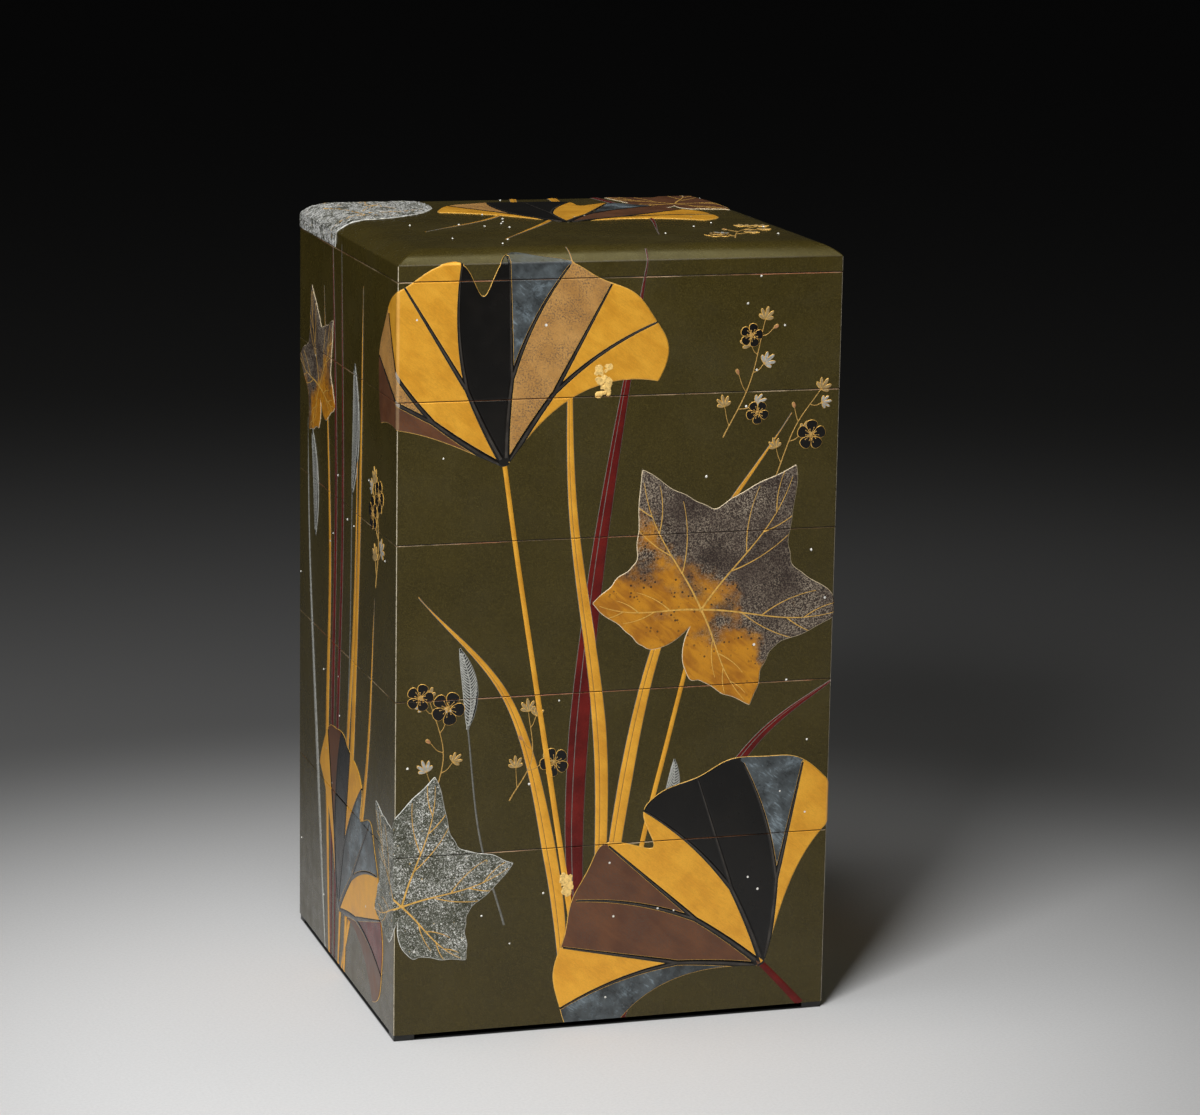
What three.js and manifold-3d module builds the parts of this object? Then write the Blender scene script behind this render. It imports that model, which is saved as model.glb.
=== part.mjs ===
// Tiered lacquer box: five stacking tiers of lacquered wood under one lid, the lowest tier on four corner feet.
// Millimetres, +Z up, front towards -Y. The origin is the middle of the footprint, on the surface that it stands on.
import * as THREE from "three";
import { mergeVertices } from "three/addons/utils/BufferGeometryUtils.js";
import Module from "manifold-3d";

const wasm = await Module();
wasm.setup();

// Outside
const boxWidth = 242;
const boxDepth = 228.5;
const bottomTierHeight = 97.5;
const fourthTierHeight = 84;
const thirdTierHeight = 83;
const secondTierHeight = 74.5;
const topTierHeight = 62;
const cornerRadius = 1; // upright corners, as seen from above
const arris = 0.4; // worn edge along each rim and each lower edge

// Boards
const wallThickness = 6;
const floorThickness = 6;
const insideCornerRadius = 4;

// Each floor drops into the tier below and keeps it in place, and a lip under the lid does the same.
const locatingDepth = 3;
const locatingClearance = 0.5; // on each side
const lipThickness = 3;

// Lid: a straight skirt, then a shoulder on one circular arc up to the flat top
const skirtHeight = 8.5;
const shoulderRise = 7.5;
const shoulderInset = 17;
const lidThickness = 6;

// Feet: what is left of a low frame at its four corners
const footHeight = 3;
const footLength = 11;
const footWidth = 6;
const footSetBack = 0.5; // from the faces of the tier

// Fineness of the round stretches, and how far a cut or a joined block runs past the face that it meets
const cornerSteps = 3; // each is two straight facets
const shoulderSteps = 10;
const overrun = 1;

const oliveLacquer = new THREE.MeshStandardMaterial({ color: 0x3b3718, roughness: 0.32, metalness: 0.1 });

// Heights lie on a grid of 1/64 mm, so that faces that rest on each other share one exact height.
const onGrid = (mm) => Math.round(mm * 64) / 64;

// The box's outline from above, taken in from the outer faces by inset, as points.
function outline(inset, radius) {
  const x = boxWidth / 2 - inset;
  const y = boxDepth / 2 - inset;
  const corners = [
    [x, y, 0],
    [-x, y, 1],
    [-x, -y, 2],
    [x, -y, 3],
  ];
  const path = new THREE.Path();
  for (const [cornerX, cornerY, quarter] of corners) {
    const centreX = cornerX - Math.sign(cornerX) * radius;
    const centreY = cornerY - Math.sign(cornerY) * radius;
    const start = (quarter * Math.PI) / 2;
    path.absarc(centreX, centreY, radius, start, start + Math.PI / 2, false);
  }
  path.closePath();
  return path.getPoints(cornerSteps).slice(0, -1);
}

function toSolid(geometry) {
  for (const name of ["normal", "uv"]) geometry.deleteAttribute(name);
  const position = geometry.attributes.position;
  for (let i = 0; i < position.count; i++) position.setZ(i, onGrid(position.getZ(i)));
  const merged = mergeVertices(geometry, 1e-4);
  return new wasm.Manifold(
    new wasm.Mesh({
      numProp: 3,
      vertProperties: merged.attributes.position.array,
      triVerts: new Uint32Array(merged.index.array),
    }),
  );
}

function toMesh(name, solid, material) {
  const { vertProperties, triVerts } = solid.getMesh();
  const geometry = new THREE.BufferGeometry();
  geometry.setAttribute("position", new THREE.BufferAttribute(new Float32Array(vertProperties), 3));
  geometry.setIndex(new THREE.BufferAttribute(new Uint32Array(triVerts), 1));
  geometry.computeVertexNormals();
  const mesh = new THREE.Mesh(geometry, material);
  mesh.name = name;
  return mesh;
}

// A straight block of the box's outline between two heights.
function block(inset, radius, bottom, top) {
  const shape = new THREE.Shape(outline(inset, radius));
  const geometry = new THREE.ExtrudeGeometry(shape, { depth: top - bottom, bevelEnabled: false });
  return toSolid(geometry.translate(0, 0, bottom));
}

// A block whose inset changes with height. Each ring is [inset, height], from the bottom up.
function stackedRings(rings, radius) {
  const loops = rings.map(([inset, z]) => outline(inset, radius).map((p) => [p.x, p.y, z]));
  const count = loops[0].length;
  const points = loops.flat();
  const bottomCentre = points.push([0, 0, rings[0][1]]) - 1;
  const topCentre = points.push([0, 0, rings.at(-1)[1]]) - 1;
  const faces = [];
  for (let i = 0; i < count; i++) {
    const next = (i + 1) % count;
    faces.push(bottomCentre, next, i);
    for (let ring = 0; ring < loops.length - 1; ring++) {
      const low = ring * count;
      const high = low + count;
      faces.push(low + i, low + next, high + next, low + i, high + next, high + i);
    }
    const last = (loops.length - 1) * count;
    faces.push(topCentre, last + i, last + next);
  }
  const geometry = new THREE.BufferGeometry();
  geometry.setAttribute("position", new THREE.Float32BufferAttribute(points.flat(), 3));
  geometry.setIndex(faces);
  return toSolid(geometry);
}

// The four feet, from below the tier's lower edge up into its floor.
function feet() {
  const frame = block(footSetBack, cornerRadius, -footHeight, overrun).subtract(
    block(footSetBack + footWidth, cornerRadius, -footHeight - overrun, overrun * 2),
  );
  const gapX = boxWidth - 2 * (footSetBack + footLength);
  const gapY = boxDepth - 2 * (footSetBack + footLength);
  const height = 2 * (footHeight + overrun);
  const acrossX = toSolid(new THREE.BoxGeometry(gapX, 2 * boxDepth, height).translate(0, 0, -height / 2));
  const acrossY = toSolid(new THREE.BoxGeometry(2 * boxWidth, gapY, height).translate(0, 0, -height / 2));
  return frame.subtract(acrossX).subtract(acrossY);
}

// A tier, with its lower edge at height 0.
function tier(height, onFeet) {
  const outside = stackedRings([[arris, 0], [0, arris], [0, height - arris], [arris, height]], cornerRadius);
  const floorTop = onFeet ? floorThickness : floorThickness - locatingDepth;
  const inside = block(wallThickness, insideCornerRadius, floorTop, height + overrun);
  const below = onFeet ? feet() : locatingPanel(floorTop);
  return outside.add(below).subtract(inside);
}

// The underside of a floor, which fits inside the walls of the tier below.
function locatingPanel(floorTop) {
  return block(
    wallThickness + locatingClearance,
    insideCornerRadius - locatingClearance,
    -locatingDepth,
    floorTop / 2,
  );
}

// The lid, with its lower edge at height 0.
function lid() {
  const arcRadius = (shoulderInset ** 2 + shoulderRise ** 2) / (2 * shoulderRise);
  const arcAngle = Math.asin(shoulderInset / arcRadius);
  const top = skirtHeight + shoulderRise;
  const rings = [[arris, 0], [0, arris], [0, skirtHeight]];
  for (let step = 1; step <= shoulderSteps; step++) {
    const angle = arcAngle * (1 - step / shoulderSteps);
    rings.push([
      shoulderInset - arcRadius * Math.sin(angle),
      top - arcRadius * (1 - Math.cos(angle)),
    ]);
  }
  const lipOuter = wallThickness + locatingClearance;
  const lipInner = lipOuter + lipThickness;
  const lip = block(lipOuter, insideCornerRadius - locatingClearance, -locatingDepth, skirtHeight / 2);
  const inside = block(lipInner, insideCornerRadius, -locatingDepth - overrun, top - lidThickness);
  return stackedRings(rings, cornerRadius).add(lip).subtract(inside);
}

const tiers = [
  ["bottom_tier", bottomTierHeight],
  ["fourth_tier", fourthTierHeight],
  ["third_tier", thirdTierHeight],
  ["second_tier", secondTierHeight],
  ["top_tier", topTierHeight],
];

const tieredBox = new THREE.Group();
tieredBox.name = "tiered_box";

let level = onGrid(footHeight);
tiers.forEach(([name, height], i) => {
  const mesh = toMesh(name, tier(onGrid(height), i === 0), oliveLacquer);
  mesh.position.z = level;
  tieredBox.add(mesh);
  level += onGrid(height);
});

const lidMesh = toMesh("lid", lid(), oliveLacquer);
lidMesh.position.z = level;
tieredBox.add(lidMesh);

export default tieredBox;
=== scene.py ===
# Looks of a tiered lacquer box: five stacking tiers and a lid in dark olive lacquer, with a raised picture of
# ginkgo leaves, ivy leaves, grass blades and plum blossom that runs round the sides and over the lid.
#
# The picture is planned flat, in millimetres. Its plan unrolls the four sides: u runs to the right round
# the box from the front left corner, and v is the height above the floor. The lid's top has a plan of its
# own, in x and y.
import math
import random

import bpy
import numpy as np
from mathutils import Matrix, Vector, noise
from mathutils.geometry import delaunay_2d_cdt


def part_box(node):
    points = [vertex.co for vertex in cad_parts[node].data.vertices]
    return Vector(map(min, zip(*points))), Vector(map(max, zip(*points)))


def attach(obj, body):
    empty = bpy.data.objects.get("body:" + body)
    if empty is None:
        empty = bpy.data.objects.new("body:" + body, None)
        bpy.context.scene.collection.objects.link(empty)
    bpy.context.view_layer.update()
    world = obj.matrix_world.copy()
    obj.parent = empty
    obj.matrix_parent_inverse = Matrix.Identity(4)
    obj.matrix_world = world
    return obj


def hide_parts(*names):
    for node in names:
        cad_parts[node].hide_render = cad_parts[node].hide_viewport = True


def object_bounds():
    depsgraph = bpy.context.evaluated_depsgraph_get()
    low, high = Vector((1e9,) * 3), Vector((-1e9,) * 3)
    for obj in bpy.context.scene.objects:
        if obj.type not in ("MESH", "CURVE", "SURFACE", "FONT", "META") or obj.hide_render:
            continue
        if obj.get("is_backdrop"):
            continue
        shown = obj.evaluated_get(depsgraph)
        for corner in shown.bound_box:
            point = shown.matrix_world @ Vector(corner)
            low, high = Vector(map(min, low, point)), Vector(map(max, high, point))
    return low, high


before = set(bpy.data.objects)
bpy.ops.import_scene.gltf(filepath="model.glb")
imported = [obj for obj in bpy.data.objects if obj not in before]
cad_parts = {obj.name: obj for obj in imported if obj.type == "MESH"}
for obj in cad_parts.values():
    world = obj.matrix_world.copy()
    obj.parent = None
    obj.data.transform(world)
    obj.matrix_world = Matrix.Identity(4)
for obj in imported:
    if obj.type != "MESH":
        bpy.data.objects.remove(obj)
cad_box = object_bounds()

MM = 0.001
TIERS = ["bottom_tier", "fourth_tier", "third_tier", "second_tier", "top_tier"]

# Sizes in millimetres, from the frame where it gives them
SKIN = 0.7  # how far the raised lacquer stands out of the ground, so the ground is set back by as much
FOOT_HEIGHT = 3.0
FOOT_LENGTH = 11.0
FOOT_WIDTH = 6.0
FOOT_SET_BACK = 0.5
FOOT_CORNERS = ((-1, -1), (-1, 1), (1, -1), (1, 1))
FOOT_EDGE = 0.3  # how far a foot's lower edge is taken in, and how far the foot goes up into its tier
FOOT_EDGE_TOP = 0.35  # the height where that edge ends
LOWEST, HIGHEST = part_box("bottom_tier")
HALF_WIDTH = (HIGHEST.x - LOWEST.x) / 2 / MM - SKIN
HALF_DEPTH = (HIGHEST.y - LOWEST.y) / 2 / MM - SKIN
WIDTH, DEPTH = 2 * HALF_WIDTH, 2 * HALF_DEPTH
TIER_TOPS = [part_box(name)[1].z / MM for name in TIERS]
TIER_FEET = [FOOT_HEIGHT] + TIER_TOPS[:-1]
BOX_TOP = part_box("lid")[1].z / MM
CORNER = 1.0  # radius of the upright corners
CORNER_CUT = (1 - math.sqrt(0.5)) * CORNER  # how far in, in x and in y, the middle of a corner's round lies
ARRIS = 0.4  # worn edge along each rim and each lower edge
ARRIS_MIDDLE = 0.12  # how far in its middle lies
UNDER_EDGE = 0.3  # width of the olive lacquer on a tier's underside, past its worn edge
INNER_EDGE = 0.3  # the rounded edge inside each rim
WALL = 6.0 - SKIN
FLOOR = 6.0
INSIDE_CORNER = 4.0
TONGUE = 3.0  # how far each tier's floor drops into the tier below
TONGUE_PLAY = 0.5  # on each side
TONGUE_INSET = WALL + TONGUE_PLAY
SKIRT = 8.5
SHOULDER_RISE = BOX_TOP - TIER_TOPS[-1] - SKIRT
SHOULDER_INSET = 17.0
LID_THICKNESS = 6.0
LIP, LIP_THICKNESS = 3.0, 3.0
SOFT_CREASE = 0.5  # the rounded edge between the skirt and the shoulder

# Heights of the raised work above the ground
PLATE = 0.46
LEAF_RIM = 0.85  # width of a leaf's rounded edge
RIB = 0.2  # a rib's crown above its plate
GROOVE = 0.16  # the low place on each side of a rib
SUNK = 0.15  # how far a raised shape goes down into the ground
MOAT_WIDTH = 0.3  # beside the outline of a leaf that lies over another shape
LEAF_MOAT = 0.6  # how far the shapes below a leaf fall away there, from 0 to 1
LIT_EDGE = 0.35  # share of the rounded edge that is painted in the rim's colour; on the leaves that colour is partly a painted highlight along the raised edge
REACH, FAR = 3.0, 9.0  # distances from a line matter only within REACH, and count as FAR beyond it
CELL = 8.0  # points are compared with lines in cells of this size
RING_SLACK = 0.06  # how far a line inside an outline may stray from its distance to it before it is cut off
CONTOUR_SLACK = 0.12  # the same for a line beside a rib
JUST_UNDER = 0.999  # keeps a line just inside the edge that it follows
NO_POINTS = np.zeros((0, 2))
POINTS_AT_A_TIME = 1500  # in the test of what lies inside, which keeps its tables small
PLAN_STEP = 1.1  # spacing of the points on a leaf's outline

CORNER_STEPS = 4  # facets on each half of an upright corner
SEAM_GAP = 0.05  # the raised work ends this far from a tier's rim or lower edge
SEAM_STEPS = (0.07, 0.16, 0.26, 0.38, 0.55)  # and rounds off over these distances
LIFTS = (0.02, SKIN - 0.01)  # the least and the most that raised work stands out

TEXTURE_MARGIN, TEXTURE_END = 0.03, 0.99  # where each piece starts and ends on the texture
BACK_SCALE = 0.02  # the hidden backs of the raised work take little of it
SKIRT_BAND, SKIRT_PITCH = 0.02, 0.025  # height and spacing on it of the bands for the lid's skirt
LID_TOP_START = 0.14  # where the lid's top starts on it, above those bands

# The lacquers that are named most
OLIVE_GROUND, INSIDE_LACQUER, FOOT_LACQUER = "olive_ground", "inside_lacquer", "foot_lacquer"
STEM, FINE_GOLD = "stem_gold", "fine_gold"
GOLD, BROWN, TAN, SLATE, BLACK, RED = (
    "gold_lacquer", "brown_lacquer", "tan_lacquer", "slate_lacquer", "black_lacquer", "red_lacquer",
)


# Lines and outlines in the flat plan

def resample(line, step):
    """The same line with its points about step apart."""
    gaps = np.linalg.norm(np.diff(line, axis=0), axis=1)
    along = np.concatenate([[0], np.cumsum(gaps)])
    places = np.linspace(0, along[-1], max(2, math.ceil(along[-1] / step) + 1))
    return np.column_stack([np.interp(places, along, line[:, 0]), np.interp(places, along, line[:, 1])])


def smooth_line(knots, step=1.2):
    """A smooth line through the knots."""
    knots = np.array(knots, float)
    ends = np.vstack([2 * knots[0] - knots[1], knots, 2 * knots[-1] - knots[-2]])
    t = np.linspace(0, 1, 24, endpoint=False)[:, None]
    fine = [
        0.5 * (2 * b + (c - a) * t + (2 * a - 5 * b + 4 * c - d) * t**2 + (3 * b - a - 3 * c + d) * t**3)
        for a, b, c, d in zip(ends, ends[1:], ends[2:], ends[3:])
    ]
    return resample(np.vstack(fine + [knots[-1:]]), step)


def closed(outline):
    """The outline as a line that ends where it starts."""
    return np.vstack([outline, outline[:1]])


def moved(line, run, distance):
    """The line's points moved to the left of run, the way that the line goes at each."""
    run = run / np.maximum(np.linalg.norm(run, axis=1), 1e-9)[:, None]
    left = np.column_stack([-run[:, 1], run[:, 0]])
    return line + left * np.reshape(np.broadcast_to(distance, len(line)), (-1, 1))


def beside(line, distance):
    """The line moved to its left by distance, which may be a number or one value for each point."""
    return moved(line, np.gradient(line, axis=0), distance)


def beside_closed(outline, distance):
    """A closed outline moved to its left by distance."""
    return moved(outline, np.roll(outline, -1, 0) - np.roll(outline, 1, 0), distance)


def ribbon(line, halves):
    """A closed outline round a line, half a width to each side."""
    return np.vstack([beside(line, -halves), beside(line, halves)[::-1]])


def anticlockwise(outline):
    x, y = outline.T
    area = np.sum(x * np.roll(y, -1) - y * np.roll(x, -1))
    return outline if area > 0 else outline[::-1]


def runs(line, keep):
    """The stretches of a line whose points are kept."""
    found, run = [], []
    for point, kept in zip(line, keep):
        if kept:
            run.append(point)
            continue
        if len(run) > 1:
            found.append(np.array(run))
        run = []
    if len(run) > 1:
        found.append(np.array(run))
    return found


def inside(points, outline):
    """Which points lie inside a closed outline."""
    return within_border(points, outline, np.roll(outline, -1, 0))


def within_border(points, starts, ends):
    """Which points lie inside the region whose border edges, in any order, go from starts to ends."""
    rise = ends[:, 1] - starts[:, 1]
    slope = (ends[:, 0] - starts[:, 0]) / np.where(rise == 0, 1, rise)
    found = np.zeros(len(points), bool)
    for first in range(0, len(points), POINTS_AT_A_TIME):
        some = slice(first, first + POINTS_AT_A_TIME)
        x, y = points[some, :1], points[some, 1:]
        spans = (starts[:, 1] > y) != (ends[:, 1] > y)
        crossings = (spans & (x < starts[:, 0] + slope * (y - starts[:, 1]))).sum(1)
        found[some] = crossings % 2 == 1
    return found


class Strands:
    """Lines with a half width at each point, such as a leaf's ribs or an outline of no width."""

    def __init__(self, lines):
        self.lines = lines
        self.start = np.vstack([line[:-1] for line, _ in lines])
        self.run = np.vstack([np.diff(line, axis=0) for line, _ in lines])
        self.half = np.concatenate([half[:-1] for _, half in lines])
        self.grow = np.concatenate([np.diff(half) for _, half in lines])
        self.length2 = np.maximum((self.run**2).sum(1), 1e-12)
        stop = self.start + self.run
        self.low, self.high = np.minimum(self.start, stop) - REACH, np.maximum(self.start, stop) + REACH

    def across(self, points):
        """For each point, its distance from the strand it is nearest to, and that strand's half width there.

        A point with no strand within REACH gets a distance of FAR.
        """
        found = np.zeros((2, len(points)))
        found[0] = FAR
        if not len(points):
            return found
        cells = np.floor(points / CELL).astype(int)
        keys = cells[:, 0] * 100003 + cells[:, 1]
        order = np.argsort(keys, kind="stable")
        for group in np.split(order, np.flatnonzero(np.diff(keys[order])) + 1):
            some = points[group]
            near = np.all((self.low < some.max(0)) & (self.high > some.min(0)), axis=1)
            if not near.any():
                continue
            start, run = self.start[near], self.run[near]
            x, y = some[:, :1] - start[:, 0], some[:, 1:] - start[:, 1]
            t = np.clip((x * run[:, 0] + y * run[:, 1]) / self.length2[near], 0, 1)
            away = np.hypot(x - t * run[:, 0], y - t * run[:, 1])
            half = self.half[near] + t * self.grow[near]
            nearest = np.argmin(away - half, axis=1)
            rows = np.arange(len(some))
            found[0, group] = away[rows, nearest]
            found[1, group] = half[rows, nearest]
        return found

    def contours(self, shares, margins):
        """Lines along each strand.

        They are its middle, and both its sides at shares of its half width and at margins past it.
        """
        found = [line for line, _ in self.lines]
        for line, half in self.lines:
            for offset in [half * share for share in shares] + [half + margin for margin in margins]:
                for side in (offset, -offset):
                    near = beside(line, side)
                    away, width = self.across(near)
                    found += runs(near, np.abs(away - width - (offset - half)) < CONTOUR_SLACK)
        return found


# Raised shapes

class Plate:
    """A raised shape of the picture.

    outline: its closed outline. rim: width of its rounded edge. lacquer: the name of its lacquer, or a
    function that gives the names from points and their distances in from the outline. extra: a function of
    the same that gives more height. lines: where it is cut besides its edge. specks: points where it is cut.
    moat: how far the shapes below it fall away along its outline, from 0 to 1.
    """

    def __init__(self, outline, height, rim, lacquer, extra=None, lines=(), specks=NO_POINTS, moat=0.0):
        self.outline = anticlockwise(outline)
        border = closed(self.outline)
        self.edge = Strands([(border, np.zeros(len(border)))])
        self.height, self.rim, self.lacquer, self.extra = height, rim, lacquer, extra
        self.specks, self.moat = specks, moat
        self.lines = [border] + self.rings() + list(lines)
        self.low, self.high = self.outline.min(0), self.outline.max(0)

    def paint(self, points):
        if isinstance(self.lacquer, str):
            return np.full(len(points), self.lacquer)
        return self.lacquer(points, self.edge.across(points)[0])

    def rings(self):
        """Lines just inside the outline, which carry the round of its edge."""
        found = []
        depths = [share * self.rim * JUST_UNDER for share in (LIT_EDGE, 0.7, 1.0)]
        if self.moat:
            depths.append(-MOAT_WIDTH)
        for depth in depths:
            ring = closed(beside_closed(self.outline, depth))
            found += runs(ring, np.abs(self.edge.across(ring)[0] - abs(depth)) < RING_SLACK)
        return found

    def contains(self, points):
        near = np.all((points > self.low) & (points < self.high), axis=1)
        found = np.zeros(len(points), bool)
        found[near] = inside(points[near], self.outline)
        return found

    def lift(self, points, heights):
        """The heights of the points once this shape lies over the shapes below it."""
        near = np.flatnonzero(np.all((points > self.low - 0.05) & (points < self.high + 0.05), axis=1))
        depth = self.edge.across(points[near])[0]
        mine = inside(points[near], self.outline) | (depth < 0.02)
        near, depth = near[mine], depth[mine]
        if not len(near):
            return heights
        rise = np.sin(np.clip(depth / self.rim, 0, 1) * math.pi / 2)
        top = self.height + (self.extra(points[near], depth) if self.extra else 0)
        below = heights[near] * (1 - self.moat * (1 - rise))
        found = heights.copy()
        found[near] = below + (top - below) * rise
        return found


class Turned:
    """A plate carried into another plan, turned and moved."""

    def __init__(self, plate, angle, shift):
        c, s = math.cos(angle), math.sin(angle)
        self.turn, self.shift, self.plate = np.array([[c, -s], [s, c]]), np.array(shift), plate
        self.lines = [self.there(line) for line in plate.lines]
        self.specks, self.outline = self.there(plate.specks), self.there(plate.outline)
        self.low, self.high = self.outline.min(0), self.outline.max(0)

    def there(self, points):
        return points @ self.turn.T + self.shift

    def back(self, points):
        return (points - self.shift) @ self.turn

    def contains(self, points):
        return self.plate.contains(self.back(points))

    def lift(self, points, heights):
        return self.plate.lift(self.back(points), heights)

    def paint(self, points):
        return self.plate.paint(self.back(points))


def ribs_relief(strands, points, crown=RIB, groove=GROOVE, bank=0.4):
    """Height of round ribs, with a groove and then a rounded bank on each side."""
    away, half = strands.across(points)
    over = np.sqrt(np.clip(1 - (away / np.maximum(half, 1e-6)) ** 2, 0, 1))
    beyond = np.sin(np.clip((away - half) / bank, 0, 1) * math.pi / 2)
    return np.where(away < half, (groove + crown) * over - groove, -groove * (1 - beyond))


def direction(turn):
    """One step in the plan in the direction turn, which is measured from straight up, to the right."""
    return np.array([math.sin(turn), math.cos(turn)])


def polar(centre, turn, radius, angle):
    """Points at a radius and an angle from the direction turn."""
    ways = np.column_stack([np.sin(turn + angle), np.cos(turn + angle)])
    return centre + np.reshape(radius, (-1, 1)) * ways


def ginkgo_leaf(apex, size, turn, colours, mirror=1):
    """A fan-shaped leaf. Its ribs fork once, and each stretch between two ribs has its own lacquer."""
    turn, spread, bend = math.radians(turn), math.radians(70), math.radians(10)
    trunks = 4
    fork = 0.42  # where the ribs fork, as a share of the leaf's length
    gold_line = 0.15  # width of the gold on each side of a rib
    crown = 0.38  # share of a rib's width that is its paler crown, a painted highlight along the rib

    def place(share, angle):
        return polar(apex, turn, size * share, mirror * (angle + bend * share))

    def rib_angle(index, share):
        trunk = (index // 2 + 0.5) / trunks * 2 - 1
        side = 1 if index % 2 else -1
        apart = np.clip((share - fork) / (1 - fork), 0, 1) ** 0.8 / (2 * trunks)
        return spread * (0.86 * trunk + side * apart)

    t = np.linspace(-1, 1, 161)
    edge = 1 - 0.16 * np.abs(t) ** 7 - 0.2 * np.exp(-((t / 0.06) ** 2))
    edge += 0.013 * np.sin(9 * t + 1) + 0.009 * np.sin(23 * t)
    share = np.linspace(0.99, 0.02, 50)
    end = edge[-1]
    side_angle = spread * (0.72 + 0.28 * share**2)
    one_side = place(share * end, side_angle)
    other_side = place(share[::-1] * edge[0], -side_angle[::-1])
    outline = np.vstack([place(edge, t * spread), one_side, other_side])
    outline = resample(closed(outline), PLAN_STEP)[:-1]

    ribs = []
    for index in range(2 * trunks):
        share = np.arange(0.05 if index % 2 == 0 else fork, 0.985, 1.6 / size)
        ribs.append((place(share, rib_angle(index, share)), 2.0 - 1.5 * share))
    strands = Strands(ribs)

    def lacquer(points, depth):
        offset = points - apex
        share = np.linalg.norm(offset, axis=1) / size
        bearing = np.arctan2(offset[:, 0], offset[:, 1])
        angle = mirror * ((bearing - turn + math.pi) % (2 * math.pi) - math.pi)
        angle = angle - bend * share
        order = sum((rib_angle(index, share) < angle).astype(int) for index in range(2 * trunks))
        names = np.array(colours)[order]
        away, half = strands.across(points)
        # The gold along the outline and beside the ribs is a gold outline that is also a painted highlight of
        # the raised edges.
        lit = (depth < LIT_EDGE * LEAF_RIM) | ((away < half + gold_line) & (names != BLACK))
        names = np.where(lit, FINE_GOLD, names)
        names = np.where((away < half) | (share < 0.03), BLACK, names)
        # The rib's crown is painted paler, as a painted highlight.
        return np.where((away < crown * half) & (half > 0.55), "rib_lacquer", names)

    def extra(points, depth):
        return ribs_relief(strands, points)

    lines = strands.contours([crown, 0.75, JUST_UNDER], [gold_line, 0.4])
    return Plate(outline, PLATE, LEAF_RIM, lacquer, extra, lines, moat=LEAF_MOAT)


def lobed_outline(centre, size, turn, tips, hollows, mirror=1):
    """A leaf's outline: pointed tips, given as (angle, length), with a round hollow after each."""
    points = []
    for (start, length), (stop, next_length), depth in zip(tips, tips[1:], hollows):
        middle = (start + stop) / 2
        s = np.linspace(0, 1, 26, endpoint=False)
        down = depth + (length - depth) * (1 - s) ** 1.75
        up = depth + (next_length - depth) * s**1.75
        angles = np.concatenate([start + (middle - start) * s, middle + (stop - middle) * s])
        radii = np.concatenate([down, up])
        radii *= 1 + 0.012 * np.sin(np.radians(angles) * 17) + 0.008 * np.sin(np.radians(angles) * 31)
        points.append(polar(centre, turn, size * radii, mirror * np.radians(angles)))
    return resample(closed(np.vstack(points)), PLAN_STEP)[:-1]


IVY_TIPS = [(-180, 0.12), (-118, 0.66), (-58, 0.9), (0, 1.0), (58, 0.9), (118, 0.66), (180, 0.12)]
IVY_HOLLOWS = [0.42, 0.5, 0.6, 0.6, 0.5, 0.42]


def ivy_leaf(centre, size, turn, ground, mirror=1, rough=0.0, rim_colour="pale_rim"):
    """A five-lobed leaf with thin raised veins, on one kind of lacquer. rough crumples its surface."""
    turn = math.radians(turn)
    vein_half = 0.42
    outline = lobed_outline(centre, size, turn, IVY_TIPS, IVY_HOLLOWS, mirror)
    veins = []
    for angle, length in IVY_TIPS[1:-1]:
        share = np.linspace(0.0, 0.93, max(8, int(size * length / 1.5)))
        bow = math.radians(6) * np.sin(share * math.pi) * (1 if angle >= 0 else -1)
        main = polar(centre, turn, size * length * share, mirror * (math.radians(angle) + bow))
        veins.append((main, vein_half * (1.25 - share)))
        for start, side in ((0.3, 1), (0.45, -1), (0.62, 1), (0.76, -1)):
            base = main[int(start * len(main))]
            reach = size * length * (0.62 - 0.5 * start) * (0.75 if abs(angle) > 100 else 1)
            out = turn + mirror * (math.radians(angle) + side * math.radians(38))
            t = np.linspace(0, 1, max(5, int(reach / 1.5)))
            curl = mirror * -side * 0.25 * t
            branch = base + reach * np.column_stack([t * np.sin(out + curl), t * np.cos(out + curl)])
            veins.append((branch, vein_half * (0.75 - 0.45 * t)))
    strands = Strands(veins)

    def lacquer(points, depth):
        away, half = strands.across(points)
        names = np.where(away < half, FINE_GOLD, ground)
        # Its outline is painted in the rim colour, a painted highlight along the raised edge.
        return np.where(depth < LIT_EDGE * LEAF_RIM, rim_colour, names)

    def extra(points, depth):
        lift = ribs_relief(strands, points, crown=0.1, groove=0.02, bank=0.3)
        return lift + crumpled(points, rough) if rough else lift

    specks = scatter(outline.min(0), outline.max(0), 1.3, int(size)) if rough else NO_POINTS
    lines = strands.contours([JUST_UNDER], [0.3])
    return Plate(outline, PLATE, LEAF_RIM, lacquer, extra, lines, specks, LEAF_MOAT)


def scatter(low, high, pitch, seed):
    """Points about a pitch apart, off their grid by a seeded draw."""
    draw = np.random.default_rng(seed)
    x, y = np.meshgrid(np.arange(low[0], high[0], pitch), np.arange(low[1], high[1], pitch))
    points = np.column_stack([x.ravel(), y.ravel()])
    return points + draw.uniform(-0.38, 0.38, points.shape) * pitch


def crumpled(points, amount):
    """Small uneven height, finer and coarser together, for thick lacquer and metal leaf."""
    found = []
    for x, y in points:
        coarse = noise.noise((x * 0.45, y * 0.45, 1.0))
        fine = noise.noise((x * 1.3, y * 1.3, 4.0))
        found.append(amount * (0.7 * coarse + fine - 0.25))
    return np.array(found)


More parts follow.
